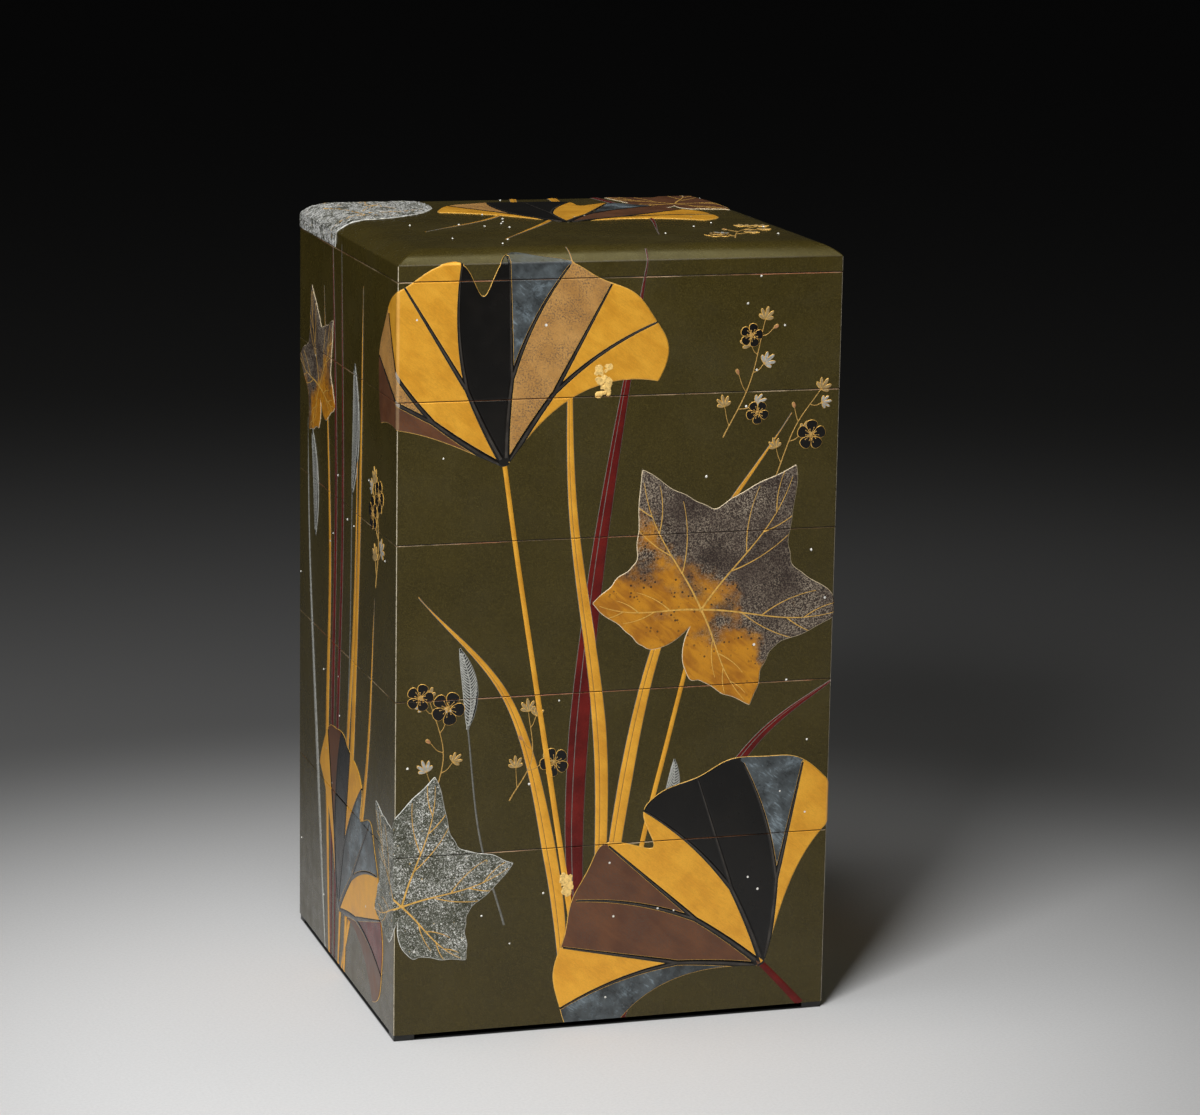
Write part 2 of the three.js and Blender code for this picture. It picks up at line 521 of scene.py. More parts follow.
def blade(knots, widest, ground):
    """A long grass blade: widest a third of the way up, a thin line along its fold, and a fine outline."""
    fold_colour = "fold_brown" if ground == GOLD else "grey_line"
    rim = 0.7
    line = smooth_line(knots, 1.8)
    t = np.linspace(0, 1, len(line))
    shape = np.clip(0.42 + 1.5 * t, 0, 1) * np.clip((1 - t) / 0.75, 0, 1) ** 0.75
    halves = widest / 2 * np.maximum(shape, 0.08)
    folds = Strands([(beside(line, halves * 0.3), 0.2 * np.clip(3 * (1 - t), 0.15, 1))])

    def lacquer(points, depth):
        away, half = folds.across(points)
        names = np.where(away < half, fold_colour, ground)
        return np.where(depth < LIT_EDGE * rim, "grey_line", names)

    def extra(points, depth):
        dome = 0.22 * np.sin(np.clip((depth - 0.4) / 2.4, 0, 1) * math.pi / 2)
        return dome + ribs_relief(folds, points, crown=-0.02, groove=0.12, bank=0.7)

    lines = folds.contours([JUST_UNDER], [0.35, rim])
    for deep in (1.2, 2.1, 2.9):
        for side in (1, -1):
            lines += runs(beside(line, side * (halves - deep)), halves > deep + 0.5)
    return Plate(ribbon(line, halves), 0.3, rim, lacquer, extra, lines)


def stalk(knots, start, end, lacquer, height=0.3):
    """A round stalk or twig, from one width to another."""
    line = smooth_line(knots, 1.5)
    halves = np.linspace(start, end, len(line)) / 2
    return Plate(ribbon(line, halves), height, max(min(start, end) * 0.45, 0.18), lacquer, lines=[line])


def dot(centre, radius, lacquer="silver_dot", height=0.42):
    outline = polar(centre, 0, radius, np.arange(10) * 2 * math.pi / 10)
    return Plate(outline, height, radius * 0.85, lacquer, specks=np.array([centre]))


def petal(base, length, width, turn, ground, height, rim_colour):
    """A round petal whose narrow end is at base."""
    rim = 0.36
    t = np.linspace(0, 2 * math.pi, 25, endpoint=False)
    along = 0.5 - 0.5 * np.cos(t)
    x = width / 2 * np.sin(t) * (0.55 + 0.45 * along)
    y = length * along
    c, s = math.cos(turn), math.sin(turn)
    outline = np.column_stack([base[0] + x * c + y * s, base[1] - x * s + y * c])

    def lacquer(points, depth):
        return np.where(depth < 0.68 * rim, rim_colour, ground)

    return Plate(outline, height, rim, lacquer)


def plum_flower(centre, size, turn):
    """Five round petals, a ring of stamens and a gold heart."""
    found = []
    for index in range(5):
        angle = turn + index * 2 * math.pi / 5
        base = centre + 0.08 * size * direction(angle)
        found.append(petal(base, 0.42 * size, 0.5 * size, angle, BLACK, 0.3, FINE_GOLD))
    for index in range(10):
        angle = turn + (index + 0.5) * 2 * math.pi / 10
        way = direction(angle)
        reach = size * (0.19 if index % 2 else 0.25)
        root, head = centre + way * size * 0.05, centre + way * reach
        found.append(stalk([root, head], 0.28, 0.24, STEM, 0.42))
        found.append(dot(head, 0.34, STEM, 0.5))
    found.append(dot(centre, size * 0.075, STEM, 0.56))
    return found


def small_leaf(base, length, turn, ground):
    """A little five-fingered leaf, drawn as five petals with a fine outline."""
    fingers = ((-1.15, 0.66), (1.15, 0.66), (-0.58, 0.9), (0.58, 0.9), (0.0, 1.0))
    return [
        petal(base, length * share, length * 0.36, turn + spread, ground, 0.22 + 0.12 * share, FINE_GOLD)
        for spread, share in fingers
    ]


def sprig(knots, seed, flowers=2, flower_size=15, leaf_size=7):
    """A thin twig with side shoots that end in little leaves, buds and flowers."""
    draw = random.Random(seed)
    line = smooth_line(knots, 1.0)
    found = [stalk(knots, 0.72, 0.42, STEM, 0.26)]
    heads = []
    count = max(4, int(len(line) / 11))
    for index in range(count):
        at = int((index + 0.7) / (count + 0.3) * (len(line) - 3))
        run = line[at + 2] - line[at]
        side = 1 if index % 2 else -1
        angle = math.atan2(run[0], run[1]) + side * draw.uniform(0.6, 0.95)
        reach = draw.uniform(7, 11) * (1.15 - 0.45 * index / count)
        way = direction(angle)
        tip = line[at] + way * reach
        middle = line[at] + way * reach * 0.5 + np.array([0, -1.2])
        found.append(stalk([line[at], middle, tip], 0.5, 0.34, STEM, 0.24))
        if index % 3 == 2:
            found.append(petal(tip, 3.6, 2.6, angle, "bud_tan", 0.34, STEM))
        else:
            metal = "silver_line" if draw.random() < 0.35 else "pale_gold"
            found += small_leaf(tip, leaf_size * draw.uniform(0.8, 1.1), angle, metal)
        heads.append(tip)
    run = line[-1] - line[-3]
    angle = math.atan2(run[0], run[1])
    found += small_leaf(line[-1], leaf_size, angle, "pale_gold")
    picks = draw.sample(range(len(heads)), min(flowers, len(heads)))
    for pick in picks:
        away = heads[pick] - line[len(line) // 2]
        way = away / max(np.linalg.norm(away), 1e-6)
        centre = heads[pick] + way * flower_size * 0.35
        found += plum_flower(centre, flower_size * draw.uniform(0.85, 1.1), draw.uniform(0, 1.2))
    return found


def plume(base, length, width, turn):
    """A reed's silver head: a spindle of slanting engraved strokes."""
    turn = math.radians(turn)
    t = np.linspace(0, 1, 40)
    way, side = direction(turn), direction(turn + math.pi / 2)
    bow = 0.08 * length * np.sin(t * math.pi)
    line = base + np.outer(t * length, way) + np.outer(bow, side)
    halves = width / 2 * np.sin(np.pi * np.clip(t, 0.03, 0.985)) ** 0.7
    strokes = []
    count = int(length / 1.7)
    for index in range(count):
        at = 0.05 + 0.9 * index / count
        half = np.interp(at, t, halves)
        spine = np.array([np.interp(at, t, line[:, 0]), np.interp(at, t, line[:, 1])])
        for way_out in (-1, 1):
            s = np.linspace(0.1, 0.86, 6)[:, None]
            stroke = spine + s * half * way_out * side + s**1.6 * half * 1.1 * way
            strokes.append((stroke, np.full(6, 0.34)))
    strokes.append((line[2:-2], np.full(36, 0.3)))
    strands = Strands(strokes)

    def lacquer(points, depth):
        away, half = strands.across(points)
        return np.where((away < half) | (depth < 0.3), "silver_line", "plume_shade")

    def extra(points, depth):
        return ribs_relief(strands, points, crown=0.12, groove=0.0, bank=0.2)

    return Plate(ribbon(line, halves), 0.34, 0.5, lacquer, extra, strands.contours([JUST_UNDER], []))


def flake_cluster(centre, size, seed):
    """Thick flakes of gold leaf, pressed close together."""
    draw = random.Random(seed)
    found = []
    for _ in range(int(12 + 2 * size)):
        place = (centre[0] + draw.uniform(-0.5, 0.5) * size, centre[1] + draw.uniform(-1.1, 1.1) * size)
        radius = draw.uniform(1.2, 2.4)
        angles = np.arange(9) * 2 * math.pi / 9
        radii = radius * np.array([draw.uniform(0.6, 1.25) for _ in angles])
        found.append(Plate(polar(place, 0, radii, angles), draw.uniform(0.5, 0.68), 0.5, "gold_flake"))
    return found


def rough_patch(outline, seed):
    """Thick silver laid on roughly, with fine gold veins over it."""
    outline = smooth_line(list(outline) + [outline[0]], 1.2)[:-1]
    draw = random.Random(seed)
    low, high = outline.min(0), outline.max(0)
    outline = outline + np.array([[draw.gauss(0, 0.25), draw.gauss(0, 0.25)] for _ in outline])
    veins = []
    for _ in range(7):
        start = np.array([draw.uniform(low[0], high[0]), draw.uniform(low[1], high[1])])
        stop = np.array([draw.uniform(low[0], high[0]), draw.uniform(low[1], high[1])])
        middle = (start + stop) / 2 + np.array([draw.gauss(0, 5), draw.gauss(0, 5)])
        vein = smooth_line([start, middle, stop], 1.2)
        veins.append((vein, np.full(len(vein), 0.3)))
    strands = Strands(veins)
    rim = 0.6

    def lacquer(points, depth):
        away, half = strands.across(points)
        names = np.where(away < half, FINE_GOLD, "rough_silver")
        # Its outline is painted pale silver, a painted highlight along its raised edge.
        return np.where(depth < 0.7 * rim, "silver_rim", names)

    lines = strands.contours([JUST_UNDER], [])
    specks = scatter(low, high, 0.9, seed)
    return Plate(outline, 0.4, rim, lacquer, lambda points, depth: crumpled(points, 0.45), lines, specks)


# The picture's layout. Places are (u, v) on the sides, and (x, y) on the lid's top.

def past(edge, *knots):
    """Knots whose u is measured from a side's edge."""
    return [(edge + u, v) for u, v in knots]


def front_picture():
    """What is on the front, from the back layer to the front layer."""
    shapes = [
        blade([(104, 3), (98, 120), (108, 250), (134, 420)], 13, RED),
        blade([(116, 3), (122, 110), (150, 230), (214, 330)], 9, GOLD),
        blade([(96, 3), (86, 90), (62, 180), (12, 240)], 9, GOLD),
        blade([(126, 3), (152, 80), (196, 150), (250, 190)], 10, RED),
        blade([(110, 3), (112, 150), (94, 290), (92, 424)], 9, GOLD),
        stalk([(122, 3), (134, 90), (150, 160), (166, 226)], 3.0, 2.2, GOLD),
        stalk([(204.6, 28), (216, 16), (228, 3)], 3.4, 4.2, RED),
        plume((39, 168), 44, 8.5, -6),
        stalk([(60, 60), (46, 110), (39, 170)], 1.2, 0.9, "grey_line"),
        plume((146, 112), 34, 7.5, 12),
        stalk([(128, 40), (138, 80), (147, 114)], 1.2, 0.9, "grey_line"),
    ]
    shapes += sprig([(176, 318), (190, 346), (198, 380)], 11, flowers=2)
    shapes += sprig([(206, 296), (216, 322), (230, 342)], 4, flowers=1)
    shapes += sprig([(20, 128), (26, 156), (18, 186)], 8, flowers=2, flower_size=17)
    shapes += sprig([(62, 128), (74, 150), (72, 176)], 21, flowers=1)
    shapes += [
        stalk([(57.2, 308.7), (66, 250), (84, 140), (102, 30)], 2.4, 3.2, GOLD),
        ginkgo_leaf((58, 306), 112, -16, [BROWN, TAN, GOLD, GOLD, BLACK, SLATE, TAN, GOLD, GOLD]),
        ginkgo_leaf((206, 26), 118, -34, [GOLD, SLATE, BLACK, BLACK, GOLD, BROWN, BROWN, GOLD, SLATE], -1),
        ivy_leaf((166, 226), 92, 34, "speckled_front"),
        ivy_leaf((4, 74), 72, 14, "silver_leaf", rough=0.12, rim_colour="silver_rim"),
    ]
    shapes += flake_cluster((110, 350), 7, 3)
    shapes += flake_cluster((94, 80), 5, 5)
    return shapes


def left_picture():
    shapes = [
        blade([(-150, 3), (-156, 120), (-150, 240), (-166, 380)], 8.0, GOLD),
        blade([(-138, 3), (-132, 130), (-120, 260), (-124, 408)], 8.0, RED),
        blade([(-128, 3), (-112, 110), (-92, 210), (-84, 330)], 8.0, GOLD),
        blade([(-160, 3), (-180, 110), (-200, 220), (-206, 300)], 7.0, "silver_line"),
        blade([(-120, 3), (-90, 60), (-60, 140), (-46, 230)], 8.0, GOLD),
        blade([(-146, 3), (-144, 130), (-136, 280), (-146, 420)], 9.0, RED),
        blade([(-114, 3), (-96, 130), (-80, 270), (-74, 392)], 10.0, GOLD),
        plume((-98, 276), 72, 15, 4),
        stalk([(-122, 60), (-104, 170), (-98, 280)], 2.0, 1.4, "grey_line"),
        plume((-186, 236), 60, 13, -8),
    ]
    shapes += sprig([(-44, 236), (-38, 262), (-46, 292)], 31, flowers=2, flower_size=20, leaf_size=9)
    shapes += [
        ginkgo_leaf((-128, 34), 104, 30, [GOLD, BROWN, BLACK, GOLD, SLATE, SLATE, GOLD, RED, BROWN]),
        ivy_leaf((-176, 322), 58, -20, "speckled_left", mirror=-1),
    ]
    return shapes


def right_picture():
    edge = WIDTH
    shapes = [
        blade(past(edge, (120, 3), (128, 130), (108, 260), (60, 372)), 8.0, GOLD),
        blade(past(edge, (128, 3), (142, 120), (150, 250), (132, 420)), 8.0, RED),
        blade(past(edge, (138, 3), (170, 100), (196, 210), (204, 320)), 7.0, GOLD),
        blade(past(edge, (108, 3), (80, 90), (46, 150), (6, 190)), 7.0, "silver_line"),
        plume((edge + 84, 150), 56, 12, -6),
    ]
    shapes += sprig(past(edge, (30, 60), (38, 92), (30, 122)), 14, 2, 18)
    shapes += sprig(past(edge, (168, 330), (182, 352), (184, 384)), 17, 1, 18)
    shapes += [
        ginkgo_leaf((edge + 150, 236), 108, 18, [GOLD, GOLD, TAN, BROWN, BLACK, GOLD, SLATE, BLACK, GOLD]),
        ivy_leaf((edge + 168, 96), 66, -24, "speckled_right", mirror=-1),
    ]
    return shapes


def back_picture():
    edge = WIDTH + DEPTH
    shapes = [
        blade(past(edge, (100, 3), (92, 130), (104, 270), (96, 404), (116, 500), (172, 596)), 11.0, GOLD),
        blade(past(edge, (90, 3), (80, 140), (84, 280), (74, 410), (66, 500), (86, 590)), 9.0, RED),
        blade(past(edge, (114, 3), (116, 150), (122, 290), (118, 410), (150, 500), (206, 560)), 9.0, GOLD),
        blade(past(edge, (112, 3), (126, 120), (160, 220), (220, 296)), 7.0, RED),
        blade(past(edge, (92, 3), (70, 100), (36, 170), (4, 204)), 7.0, GOLD),
        plume((edge + 150, 92), 50, 11, 8),
    ]
    shapes += sprig(past(edge, (150, 300), (160, 330), (152, 362)), 41, 2, 18)
    shapes += [
        ginkgo_leaf((edge + 60, 262), 96, -14, [TAN, GOLD, GOLD, BROWN, BROWN, BLACK, GOLD, GOLD, SLATE]),
        ivy_leaf((edge + 186, 84), 60, 16, "silver_leaf", rough=0.12, rim_colour="silver_rim"),
    ]
    return shapes


def lid_picture():
    """What is on the lid's top alone. Whatever comes up over its edges is added to these."""
    shapes = sprig([(70, -84), (80, -60), (98, -40)], 51, flowers=1, flower_size=15, leaf_size=8)
    shapes += [
        ivy_leaf((84, 62), 54, 20, BROWN, rim_colour="pale_rim"),
        ginkgo_leaf((0, -8), 94, 14, [GOLD, TAN, BLACK, BLACK, GOLD, SLATE, BROWN, GOLD, GOLD]),
        rough_patch([(-133, 26), (-100, 22), (-72, 40), (-56, 68), (-58, 100), (-72, 124), (-134, 126)], 6),
    ]
    return shapes


def silver_dots(low, high, count, seed):
    draw = random.Random(seed)
    return [
        dot((draw.uniform(low[0], high[0]), draw.uniform(low[1], high[1])), draw.uniform(0.5, 0.75))
        for _ in range(count)
    ]


# From the flat plan to the box

SIDES = {
    "front": (0.0, WIDTH),
    "right": (WIDTH, WIDTH + DEPTH),
    "back": (WIDTH + DEPTH, 2 * WIDTH + DEPTH),
    "left": (-DEPTH, 0.0),
}
SIDE_TURN = {"front": 0, "right": 90, "back": 180, "left": -90}  # of a side's plan, to join the lid's plan


def round_the_box(u, side, inset, radius):
    """Places on the outline seen from above, and the ways out of it, for distances u along one side."""
    start, stop = SIDES[side]
    length = stop - start
    s = np.clip(u - start, 0, length)
    half, other = (length / 2, (WIDTH + DEPTH - length) / 2)
    straight = (s - CORNER) / (length - 2 * CORNER)
    along = (2 * np.clip(straight, 0, 1) - 1) * (half - inset - radius)
    lean = np.where(s < CORNER, s / CORNER - 1, np.where(s > length - CORNER, 1 - (length - s) / CORNER, 0))
    angle = lean * math.pi / 4
    x = along + radius * np.sin(angle)
    y = -(other - inset - radius) - radius * np.cos(angle)
    c, d = math.cos(math.radians(SIDE_TURN[side])), math.sin(math.radians(SIDE_TURN[side]))
    place = np.column_stack([x * c - y * d, x * d + y * c])
    way = np.column_stack([np.sin(angle) * c + np.cos(angle) * d, np.sin(angle) * d - np.cos(angle) * c])
    return place, way


SKIRT_TOP = TIER_TOPS[-1] + SKIRT - SOFT_CREASE  # where the soft crease begins
LID_FLAT = BOX_TOP - SKIN  # height of the lid's ground
ARC_RISE = SHOULDER_RISE - SKIN
ARC_RADIUS = (SHOULDER_INSET**2 + ARC_RISE**2) / (2 * ARC_RISE)
ARC_START = math.asin((SHOULDER_INSET - SOFT_CREASE) / ARC_RADIUS)

# How far in from the lid's edge its facets begin, over the soft crease and then up the shoulder
CREASE_INSETS = (0.0, 0.03, 0.12, 0.27, SOFT_CREASE)
SHOULDER_INSETS = SHOULDER_INSET - ARC_RADIUS * np.sin(np.linspace(ARC_START, 0, 15)[1:])


def shoulder(inset):
    """Height of the lid's ground, and its slope, at a distance in from the lid's edge."""
    reach = np.clip(SHOULDER_INSET - inset, 0, None)
    depth = np.sqrt(ARC_RADIUS**2 - reach**2)
    height = LID_FLAT - ARC_RADIUS + depth
    slope = reach / depth
    crease = SOFT_CREASE
    joint_reach = SHOULDER_INSET - crease
    joint_depth = math.sqrt(ARC_RADIUS**2 - joint_reach**2)
    joint = LID_FLAT - ARC_RADIUS + joint_depth
    t = np.sqrt(np.clip(inset / crease, 1e-8, 1))
    middle = TIER_TOPS[-1] + SKIRT
    soft = (1 - t) ** 2 * SKIRT_TOP + 2 * t * (1 - t) * middle + t**2 * joint
    soft_slope = ((1 - t) * (middle - SKIRT_TOP) + t * (joint - middle)) / (crease * t)
    near = inset < crease
    return np.where(near, soft, height), np.where(near, soft_slope, slope)


def edge_inset(points):
    """How far each place on the lid's plan lies in from its mitred outline, and the way out from there."""
    a = HALF_WIDTH - np.abs(points[:, 0])
    b = HALF_DEPTH - np.abs(points[:, 1])
    corner = np.abs(a - b) < CORNER
    s = ((a + b) + np.sqrt(np.clip(2 * CORNER**2 - (a - b) ** 2, 0, None))) / 2
    inset = np.where(corner, s - CORNER, np.minimum(a, b))
    way_x = np.where(corner, (s - a) / CORNER, (a < b) * 1.0)
    way_y = np.where(corner, (s - b) / CORNER, (a >= b) * 1.0)
    way = np.column_stack([way_x * np.sign(points[:, 0]), way_y * np.sign(points[:, 1])])
    return np.clip(inset, 0, None), way


def on_side(side, ends=()):
    """How a side's plan and a height above the ground become a place in space.

    The ground falls back along the arris at each of the levels in ends.
    """

    def place(points, height):
        spot, way = round_the_box(points[:, 0], side, 0.0, CORNER)
        fall = np.zeros(len(points))
        for end in ends:
            short = np.clip(ARRIS - np.abs(points[:, 1] - end), 0, ARRIS)
            fall += ARRIS - np.sqrt(ARRIS**2 - short**2)
        return np.column_stack([spot + way * (height - fall)[:, None], points[:, 1]])

    return place


def on_lid(points, height):
    inset, way = edge_inset(points)
    level, slope = shoulder(inset)
    tilt = np.arctan(slope)
    flat = points + way * (np.sin(tilt) * height)[:, None]
    return np.column_stack([flat, level + np.cos(tilt) * height])


def loop_of(inset, radius):
    """The box's outline seen from above, in by inset, as points in order round it."""
    found = []
    for side in ("left", "front", "right", "back"):
        start, stop = SIDES[side]
        found.append(round_the_box(corner_places(start, stop)[:-1], side, inset, radius)[0])
    return np.vstack(found)


def corner_places(start, stop):
    """Distances along a side where the facets of its two corners begin."""
    steps = np.arange(CORNER_STEPS + 1) / CORNER_STEPS * CORNER
    return np.concatenate([start + steps, stop - steps[::-1]])


# Cutting the plan into triangles

def clipped(line, low, high):
    """The stretches of a line that come near a box of the plan."""
    near = np.all((line > low - REACH) & (line < high + REACH), axis=1)
    return runs(line, near | np.roll(near, 1) | np.roll(near, -1)) if near.any() else []


def lay_out(plates, low, high, guides):
    """Cuts one part of the plan into triangles along every line of the plates and guides.

    Returns the points, the triangles that lie on a plate, the lacquer of each and the height of each point.
    """
    low, high = np.array(low, float), np.array(high, float)
    plates = [p for p in plates if np.all(p.high > low) and np.all(p.low < high)]
    if not plates:
        return None
    border = np.array([low, (high[0], low[1]), high, (low[0], high[1]), low])
    lines = [border] + list(guides)
    for plate in plates:
        for line in plate.lines:
            lines += clipped(line, low, high)
    specks = [p.specks[np.all((p.specks > low) & (p.specks < high), axis=1)] for p in plates]
    specks = [s[p.contains(s)] for s, p in zip(specks, plates)]
    spots, edges = [], []
    for line in lines:
        first = len(spots)
        spots += [Vector(point) for point in line]
        edges += [(first + i, first + i + 1) for i in range(len(line) - 1)]
    spots += [Vector(point) for some in specks for point in some]
    cut = delaunay_2d_cdt(spots, edges, [], 0, 1e-3, False)
    points = np.array([tuple(p) for p in cut[0]], float)
    triangles = np.array([face for face in cut[2] if len(face) == 3], int)
    middles = points[triangles].mean(1)
    keep = np.all((middles > low) & (middles < high), axis=1)
    triangles, middles = triangles[keep], middles[keep]

    lacquers = np.full(len(triangles), "", dtype="<U20")
    for plate in plates[::-1]:
        bare = np.flatnonzero(lacquers == "")
        mine = bare[plate.contains(middles[bare])]
        if len(mine):
            lacquers[mine] = plate.paint(middles[mine])
    kept = lacquers != ""
    triangles, lacquers = triangles[kept], lacquers[kept]
    if not len(triangles):
        return None
    used, where = np.unique(triangles, return_inverse=True)
    points, triangles = points[used], where.reshape(-1, 3)

    heights = np.zeros(len(points))
    for plate in plates:
        heights = plate.lift(points, heights)
    return points, triangles, lacquers, heights


def area_normals(places, faces):
    """Each point's normal, weighted by the areas of the faces round it, so that flat faces stay flat."""
    a, b, c = (places[faces[:, i]] for i in range(3))
    areas = np.cross(b - a, c - a)
    normals = np.zeros_like(places)
    for i in range(3):
        np.add.at(normals, faces[:, i], areas)
    return normals / np.maximum(np.linalg.norm(normals, axis=1), 1e-12)[:, None]


class Relief:
    """Raised shapes on one or more parts of the plan, gathered into one mesh with a closed back."""

    def __init__(self):
        self.places, self.normals, self.faces, self.lacquers, self.maps = [], [], [], [], []
        self.count = 0

    def add(self, points, triangles, lacquers, heights, place, texture):
        """Adds one part. place gives its points' places in space, and texture those on the texture."""
        top = place(points, heights)
        edges = np.vstack([triangles[:, [0, 1]], triangles[:, [1, 2]], triangles[:, [2, 0]]])
        owner = np.tile(np.arange(len(triangles)), 3)
        _, first, times = np.unique(np.sort(edges, axis=1), axis=0, return_index=True, return_counts=True)
        rim = first[times == 1]
        a, b = edges[rim].T

        # The back has the same outline, and as few triangles as it can.
        used = np.unique(edges[rim])
        order = np.searchsorted(used, edges[rim])
        cut = delaunay_2d_cdt([Vector(p) for p in points[used]], order.tolist(), [], 0, 1e-5, True)
        back_points = np.array([tuple(p) for p in cut[0]], float)
        back_faces = np.array([face for face in cut[2] if len(face) == 3], int)
        middles = back_points[back_faces].mean(1)
        filled = within_border(middles, points[a], points[b])
        back_faces = back_faces[filled]
        where = np.zeros(len(used), int)
        for index, given in enumerate(cut[3]):
            where[given] = index
        n = len(points)
        low_a, low_b = where[np.searchsorted(used, a)] + n, where[np.searchsorted(used, b)] + n
        under = place(back_points, np.full(len(back_points), -SUNK))
        walls = np.vstack([np.column_stack([b, a, low_a]), np.column_stack([b, low_a, low_b])])
        faces = np.vstack([triangles, back_faces[:, ::-1] + n, walls])
        owned = lacquers[owner[rim]]
        plain = np.full(len(back_faces), lacquers[0])
        self.places += [top, under]
        down = area_normals(under, back_faces[:, ::-1]) if len(back_faces) else np.zeros_like(under)
        self.normals += [area_normals(top, triangles), down]
        self.faces.append(faces + self.count)
        self.lacquers.append(np.concatenate([lacquers, plain, owned, owned]))
        self.maps += [texture(points), texture(back_points) * BACK_SCALE]
        self.count += n + len(back_points)

    def build(self, name, materials):
        """Makes the piece, without any triangle that is there twice or has no area."""
        places, faces = np.vstack(self.places) * MM, np.vstack(self.faces)
        lacquers = np.concatenate(self.lacquers)
        order = np.sort(faces, axis=1)
        whole = np.all(np.diff(order, axis=1) > 0, axis=1)
        first = np.zeros(len(faces), bool)
        first[np.unique(order, axis=0, return_index=True)[1]] = True
        faces = faces[whole & first]
        mesh = new_mesh(name, places, faces.tolist(), lacquers[whole & first], materials)
        layer = mesh.uv_layers.new(name="OFBake")
        corners = np.vstack(self.maps)[faces.ravel()]
        layer.data.foreach_set("uv", corners.astype(np.float32).ravel())
        mesh.normals_split_custom_set_from_vertices(np.vstack(self.normals).tolist())
        return add_object(name, mesh)


def new_mesh(name, places, faces, lacquers, materials):
    """A mesh with the name of a lacquer for each of its faces."""
    mesh = bpy.data.meshes.new(name)
    mesh.from_pydata([tuple(p) for p in places], [], faces)
    names = sorted(set(lacquers))
    for lacquer in names:
        mesh.materials.append(materials[lacquer])
    mesh.polygons.foreach_set("material_index", np.searchsorted(names, lacquers).astype(np.int32))
    mesh.polygons.foreach_set("use_smooth", np.ones(len(mesh.polygons), bool))
    return mesh


def add_object(name, data):
    item = bpy.data.objects.new(name, data)
    bpy.context.scene.collection.objects.link(item)
    return item


# The six bodies

def lofted(rings):
    """A closed shell through rings, from the middle of its underside to the middle of its inside.

    Each ring is (inset, height, radius, lacquer of the band that leads to it). Both ends are filled.
    """
    loops = [(loop_of(inset, radius), level) for inset, level, radius, _ in rings]
    places, faces = banded(loops)
    around = len(places) // len(rings)
    lacquers = [ring[3] for ring in rings[1:] for _ in range(around)]
    return places, faces, lacquers + [rings[0][3], rings[-1][3]]


def banded(loops):
    """The points of (loop, height) pairs, with faces from each loop to the next and over both ends."""
    count = len(loops[0][0])
    places = np.vstack([np.column_stack([loop, np.full(count, level)]) for loop, level in loops])
    here = np.arange(count)
    there = np.roll(here, -1)
    faces = []
    for a in range(0, len(places) - count, count):
        faces += np.column_stack([here + a, there + a, there + a + count, here + a + count]).tolist()
    return places, faces + [list(here[::-1]), list(here + len(places) - count)]


def foot(side_x, side_y):
    """A low corner foot, seen from above an L, a little rounded at its lower edge."""
    outer_x, outer_y = HALF_WIDTH - FOOT_SET_BACK, HALF_DEPTH - FOOT_SET_BACK
    plan = np.array([
        (outer_x - FOOT_LENGTH, outer_y), (outer_x - FOOT_LENGTH, outer_y - FOOT_WIDTH),
        (outer_x - FOOT_WIDTH, outer_y - FOOT_WIDTH), (outer_x - FOOT_WIDTH, outer_y - FOOT_LENGTH),
        (outer_x, outer_y - FOOT_LENGTH), (outer_x, outer_y - CORNER),
        (outer_x - CORNER_CUT, outer_y - CORNER_CUT), (outer_x - CORNER, outer_y),
    ]) * (side_x, side_y)
    if side_x * side_y < 0:
        plan = plan[::-1]
    under = beside_closed(plan, FOOT_EDGE)
    return banded([(under, 0.0), (plan, FOOT_EDGE_TOP), (plan, FOOT_HEIGHT + FOOT_EDGE)])


def shell(name, rings, materials, feet=()):
    """The ground of one piece of the box. feet: the corners that have a foot."""
    places, faces, lacquers = lofted(rings)
    for corner in feet:
        more, more_faces = foot(*corner)
        faces += [[i + len(places) for i in face] for face in more_faces]
        lacquers += [FOOT_LACQUER] * len(more_faces)
        places = np.vstack([places, more])
    mesh = new_mesh(name, places * MM, faces, lacquers, materials)
    mesh.update()
    normals = np.zeros_like(places)
    for polygon in mesh.polygons:
        normals[list(polygon.vertices)] += np.array(polygon.normal) * polygon.area
    normals /= np.maximum(np.linalg.norm(normals, axis=1), 1e-12)[:, None]
    # Where a face meets another one at a steep angle, its corners keep the face's own normal.
    corners = np.zeros(len(mesh.loops), np.int32)
    mesh.loops.foreach_get("vertex_index", corners)
    split = normals[corners]
    for polygon in mesh.polygons:
        own = np.array(polygon.normal)
        spots = slice(polygon.loop_start, polygon.loop_start + polygon.loop_total)
        lean = split[spots] @ own
        split[spots] = np.where(lean[:, None] < 0.6, own, split[spots])
    mesh.normals_split_custom_set(split.tolist())
    return add_object(name, mesh)


def lower_edge(low):
    """The rings of a worn lower edge, from its underside to the outer face."""
    rings = ((ARRIS, 0.0), (ARRIS_MIDDLE, ARRIS_MIDDLE), (0.0, ARRIS))
    return [(inset, low + rise, CORNER, OLIVE_GROUND) for inset, rise in rings]


def tongue(low, high):
    """The rings of what fits inside the walls of the tier below."""
    return [(TONGUE_INSET, z, INSIDE_CORNER - TONGUE_PLAY, INSIDE_LACQUER) for z in (low, high)]


